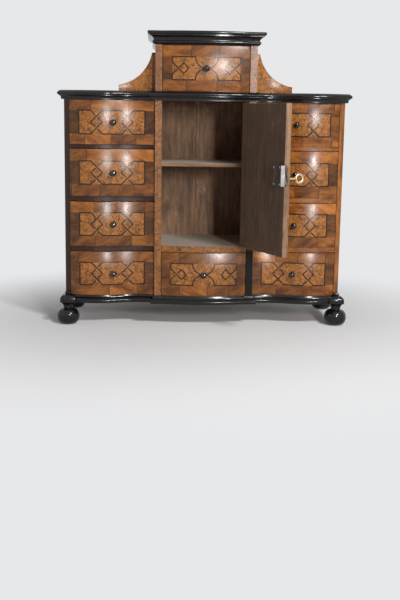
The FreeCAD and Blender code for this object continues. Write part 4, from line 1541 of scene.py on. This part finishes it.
# The bit's rim round its notch, the slope of the notch's sides and its depth
BIT_RIM = 0.0006
BIT_SLOPE = 0.0001
BIT_NOTCH = 0.002


def door_inside(plan):
    """Where the shut door's flat inner face lies, from front to back."""
    return plan.bow(DOOR_RIGHT).y + DOOR_EDGE


def swing(piece):
    """Turns a piece that was modelled on the shut door to where the open door stands."""
    select_only(piece)
    bpy.ops.transform.rotate(value=-DOOR_OPEN, orient_axis="Z", center_override=HINGE["pos_m"])
    bpy.ops.object.transform_apply(location=True, rotation=True, scale=True)


class CABINET_OT_door(bpy.types.Operator):
    """Models the bow-fronted door with its cleat"""

    bl_idname = "cabinet.door"
    bl_label = "Cupboard door"

    def execute(self, context):
        plan = FrontPlan(sizes())
        low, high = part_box("door_panel")
        inner = door_inside(plan)
        middle = low[2] + DOOR_CLEAT
        boards = []
        for name, bottom, top in (("door_board", middle, high[2]), ("door_cleat", low[2], middle)):
            board = bow_front(name, plan, (DOOR_LEFT, 0, bottom), (DOOR_RIGHT, inner, top))
            round_edges(board, sizes().edge_round)
            boards.append(board)
        tests = [lambda normal, centre: abs(normal.y) < FACING, lambda normal, centre: normal.y >= FACING]
        for board, bare in zip(boards, ("door_board", "door_cleat")):
            lay_materials(board, ["door_veneer", "door_edge", bare], tests)
        door = join_pieces("bowed_door", boards)
        shade(door)
        lay_panel(door, 0.0, middle_of(low, high).z)
        swing(door)
        settle(door, "door", ["door_panel"])
        return {"FINISHED"}


class CABINET_OT_lock(bpy.types.Operator):
    """Models the iron box lock, its edge plate and its screws"""

    bl_idname = "cabinet.lock"
    bl_label = "Box lock"

    def execute(self, context):
        low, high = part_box("door_lock_case")
        inner = door_inside(FrontPlan(sizes()))
        face = inner + LOCK_DEPTH
        case = board_between(
            "iron_lock_case",
            (DOOR_LEFT + LOCK_PLATE, inner, low[2]), (DOOR_LEFT + LOCK_WIDTH, face, high[2]))
        pick_faces(case, lambda normal, centre: normal.y > FACING)
        bpy.ops.mesh.inset(thickness=LOCK_RIM)
        bpy.ops.mesh.inset(thickness=LOCK_SLOPE, depth=-LOCK_SINK)
        close_mesh()
        round_edges(case, LOCK_ROUND)
        shade(case)
        lay_materials(case, ["dark_iron"])
        swing(case)
        settle(case, "door", ["door_lock_case"])
        plate = board_between(
            "iron_lock_plate",
            (DOOR_LEFT, inner - LOCK_BITE, low[2]), (DOOR_LEFT + LOCK_PLATE, face, high[2]))
        close_mesh()
        self.cut_bolt_hole(plate, inner)
        round_edges(plate, PLATE_ROUND)
        shade(plate)
        lay_materials(plate, ["old_iron"])
        swing(plate)
        settle(plate, "door")
        self.screws(face, low[2], high[2])
        return {"FINISHED"}

    def cut_bolt_hole(self, plate, inner):
        """Saws the hole that the bolt shoots through."""
        low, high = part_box("door_lock_bolt")
        beyond = 0.01
        cutter = board_between(
            "bolt_cutter", (DOOR_LEFT - beyond, inner, low[2] - HAIR),
            (DOOR_LEFT + beyond, inner + LOCK_DEPTH - LOCK_WALL, high[2] + HAIR))
        close_mesh()
        cut_away(plate, cutter)

    def screws(self, face, bottom, top):
        """Slotted screws at the lock's four corners."""
        spots = []
        for z in (bottom + SCREW_INSET, top - SCREW_INSET):
            spots.append(Vector((DOOR_LEFT + LOCK_PLATE + SCREW_INSET, face, z)))
            spots.append(Vector((DOOR_LEFT + LOCK_WIDTH - SCREW_INSET, face, z)))
        first = spots[0]
        deselect()
        bpy.ops.mesh.primitive_cylinder_add(
            vertices=24, radius=sizes().screw_radius, depth=SCREW_HEIGHT, location=first,
            rotation=(RIGHT_ANGLE, 0, 0))
        screw = name_piece("lock_screw")
        open_mesh(screw)
        for side in (1, -1):
            bpy.ops.mesh.select_all(action="SELECT")
            bpy.ops.mesh.bisect(plane_co=first + Vector((side * SCREW_SLOT, 0, 0)), plane_no=(1, 0, 0))
        pick_faces(screw, lambda normal, centre: normal.y > FACING and abs(centre.x - first.x) < SCREW_SLOT)
        push(BACKWARDS * -SCREW_SLOT)
        finish_mesh()
        round_edges(screw, SCREW_ROUND, segments=1, angle=60.0)
        shade(screw)
        lay_materials(screw, ["old_iron"])
        screws = [screw]
        for spot in spots[1:]:
            screws.append(copy_piece(screw, "lock_screw_copy", spot - first))
        whole = join_pieces("lock_screws", screws)
        swing(whole)
        settle(whole, "door")


class CABINET_OT_key(bpy.types.Operator):
    """Models the brass key in the door"""

    bl_idname = "cabinet.key"
    bl_label = "Key"

    def execute(self, context):
        plan = FrontPlan(sizes())
        x = DOOR_LEFT + KEY_INSET
        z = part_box("door_key")[1][2] - KEY_BOW - KEY_WIRE
        inner = door_inside(plan)
        start = plan.bow(x).y - KEY_REACH
        length = 1000 * (inner + KEY_END - start)
        profile = [*KEY_PROFILE, (KEY_PROFILE[-1][0], length, 0.0), (0.0, length, 0.0)]
        place = Vector((x, start, z))
        shank = turn_piece("key_shank", place, BACKWARDS, profile_points(profile, 5), 24)
        deselect()
        bpy.ops.mesh.primitive_torus_add(
            location=(x, start - KEY_BOW, z), rotation=(0, RIGHT_ANGLE, 0), major_radius=KEY_BOW,
            minor_radius=KEY_WIRE, major_segments=48, minor_segments=12)
        bow = name_piece("key_bow")
        open_mesh(bow)
        bpy.ops.transform.resize(value=(KEY_FLAT, 1, 1), center_override=place)
        close_mesh()
        bit_back = inner + BIT_BACK
        bit = board_between(
            "key_bit", (x - BIT_HALF, bit_back, z - BIT_DROP), (x + BIT_HALF, bit_back + BIT_LENGTH, z))
        pick_faces(bit, lambda normal, centre: normal.z < -FACING)
        bpy.ops.mesh.inset(thickness=BIT_RIM)
        bpy.ops.mesh.inset(thickness=BIT_SLOPE, depth=-BIT_NOTCH)
        close_mesh()
        key = join_pieces("brass_key", [shank, bow, bit])
        shade(key, KEY_EDGE)
        lay_materials(key, ["old_brass"])
        swing(key)
        settle(key, "key", ["door_key"])
        return {"FINISHED"}


FLOOR_RADIUS = 30
# How far from the middle the floor starts and ends to fade into the surroundings
FLOOR_FADE = (0.2, 1.0)
# Strength of the surroundings as light
FILL = 0.06
# Lamps as (name, place, width and height, watts), and the height that they aim at
LAMPS = (
    ("key", (0.80, -3.02, 0.95), (0.25, 0.62), 60.0),
    ("high", (1.23, -2.13, 2.12), (0.4, 0.4), 66.0),
    ("side", (-2.4, -1.5, 1.2), (1.4, 1.6), 2.0),
)
LAMP_AIM = 0.38


class CABINET_OT_stage(bpy.types.Operator):
    """Sets the pale floor, the soft lights and the camera"""

    bl_idname = "cabinet.stage"
    bl_label = "Stage"

    def execute(self, context):
        self.floor()
        self.world(context.scene)
        self.lights()
        self.camera(context.scene)
        context.scene.view_settings.view_transform = "Standard"
        return {"FINISHED"}

    def seen(self, tree):
        """1 for what the camera sees, straight, mirrored or through something clear."""
        path = put(tree, "LightPath").outputs
        return largest(tree, path["Is Camera Ray"], path["Is Glossy Ray"], path["Is Transmission Ray"])

    def floor(self):
        """A wide floor that keeps the cabinet's shadow and fades into the surroundings."""
        deselect()
        bpy.ops.mesh.primitive_circle_add(
            vertices=96, radius=FLOOR_RADIUS, fill_type="NGON", location=(0, 0, 0))
        floor = name_piece("studio_floor")
        tree, shader = new_material("studio_floor")
        place = object_place(tree)
        cloud = noise(tree, place, scale=3.0, detail=3.0)
        tint = colour_of(colours().floor)
        clouded = mix(tree, cloud, tint, shaded(tree, tint, 0.97))
        feed(tree, shader, {"Base Color": clouded, "Roughness": 0.9})
        away = step_up(tree, vectors(tree, "LENGTH", place, output=1), *FLOOR_FADE)
        glow = put(tree, "Emission", {"Color": colour_of(colours().backdrop)}).outputs[0]
        both = put(tree, "MixShader", {0: maths(tree, "MULTIPLY", away, self.seen(tree)), 2: glow})
        tree.links.new(shader.outputs[0], both.inputs[1])
        tree.links.new(both.outputs[0], tree.nodes["Material Output"].inputs["Surface"])
        floor.data.materials.append(bpy.data.materials["studio_floor"])

    def world(self, scene):
        """Even surroundings: a soft fill on the object, the backdrop's colour where they are seen."""
        scene.world = bpy.data.worlds.new("studio")
        scene.world.use_nodes = True
        tree = scene.world.node_tree
        fill = put(tree, "Background", {"Color": (1.0, 1.0, 1.0, 1.0), "Strength": FILL}).outputs[0]
        shown = put(tree, "Background", {"Color": colour_of(colours().backdrop), "Strength": 1.0}).outputs[0]
        both = put(tree, "MixShader", {0: self.seen(tree), 1: fill, 2: shown}).outputs[0]
        tree.links.new(both, tree.nodes["World Output"].inputs["Surface"])

    def lights(self):
        """A low key light in front on the right, a stronger one above it and a weak fill on the left."""
        for name, place, size, power in LAMPS:
            lamp = bpy.data.lights.new(name, "AREA")
            lamp.shape = "RECTANGLE"
            lamp.size, lamp.size_y = size
            lamp.energy = power
            holder = bpy.data.objects.new(name, lamp)
            bpy.context.scene.collection.objects.link(holder)
            holder.location = place
            aim = UP * LAMP_AIM - holder.location
            holder.rotation_euler = aim.to_track_quat("-Z", "Y").to_euler()

    def camera(self, scene):
        """The photograph's camera."""
        yaw = math.radians(CAMERA_YAW)
        pitch = math.radians(CAMERA_PITCH)
        roll = math.radians(CAMERA_ROLL)
        level = Vector((math.cos(yaw), math.sin(yaw), 0))
        ahead = Vector((-math.sin(yaw), math.cos(yaw), 0))
        forward = math.cos(pitch) * ahead - math.sin(pitch) * UP
        upright = math.sin(pitch) * ahead + math.cos(pitch) * UP
        right = math.cos(roll) * level + math.sin(roll) * upright
        top = math.cos(roll) * upright - math.sin(roll) * level
        lens = bpy.data.cameras.new("camera")
        lens.sensor_width = SENSOR
        lens.lens = FOCAL_PIXELS * SENSOR / FRAME_HEIGHT
        holder = bpy.data.objects.new("camera", lens)
        scene.collection.objects.link(holder)
        turn = Matrix((right, top, -forward)).transposed().to_4x4()
        place = Vector(CAMERA_PLACE) + Vector((0, FRONT_Y, 0))
        holder.matrix_world = Matrix.Translation(place) @ turn
        scene.camera = holder


class CABINET_PT_tools(bpy.types.Panel):
    """The cabinet's operators and settings"""

    bl_idname = "CABINET_PT_tools"
    bl_label = "Serpentine table cabinet"
    bl_space_type = "VIEW_3D"
    bl_region_type = "UI"
    bl_category = "Cabinet"

    def draw(self, context):
        for operator in OPERATORS:
            self.layout.operator(operator.bl_idname)
        for group in (context.scene.cabinet_sizes, context.scene.cabinet_colours):
            box = self.layout.box()
            for name in group.bl_rna.properties.keys():
                if name not in ("rna_type", "name"):
                    box.prop(group, name)


OPERATORS = (
    CABINET_OT_carcass, CABINET_OT_drawer_fronts, CABINET_OT_knobs, CABINET_OT_feet, CABINET_OT_mouldings,
    CABINET_OT_scrolls, CABINET_OT_back, CABINET_OT_door, CABINET_OT_lock, CABINET_OT_key, CABINET_OT_stage,
)
CLASSES = (CabinetSizes, CabinetColours, *OPERATORS, CABINET_PT_tools)


def register():
    """Registers the classes and their settings."""
    for kind in CLASSES:
        bpy.utils.register_class(kind)
    bpy.types.Scene.cabinet_sizes = bpy.props.PointerProperty(type=CabinetSizes)
    bpy.types.Scene.cabinet_colours = bpy.props.PointerProperty(type=CabinetColours)


def unregister():
    """Removes the classes and their settings."""
    del bpy.types.Scene.cabinet_colours
    del bpy.types.Scene.cabinet_sizes
    for kind in reversed(CLASSES):
        bpy.utils.unregister_class(kind)


def main():
    """Makes every piece in order."""
    register()
    bpy.ops.cabinet.carcass()
    bpy.ops.cabinet.drawer_fronts()
    bpy.ops.cabinet.knobs()
    bpy.ops.cabinet.feet()
    bpy.ops.cabinet.mouldings()
    bpy.ops.cabinet.scrolls()
    bpy.ops.cabinet.back()
    bpy.ops.cabinet.door()
    bpy.ops.cabinet.lock()
    bpy.ops.cabinet.key()
    bpy.ops.cabinet.stage()


if __name__ == "__main__":
    main()
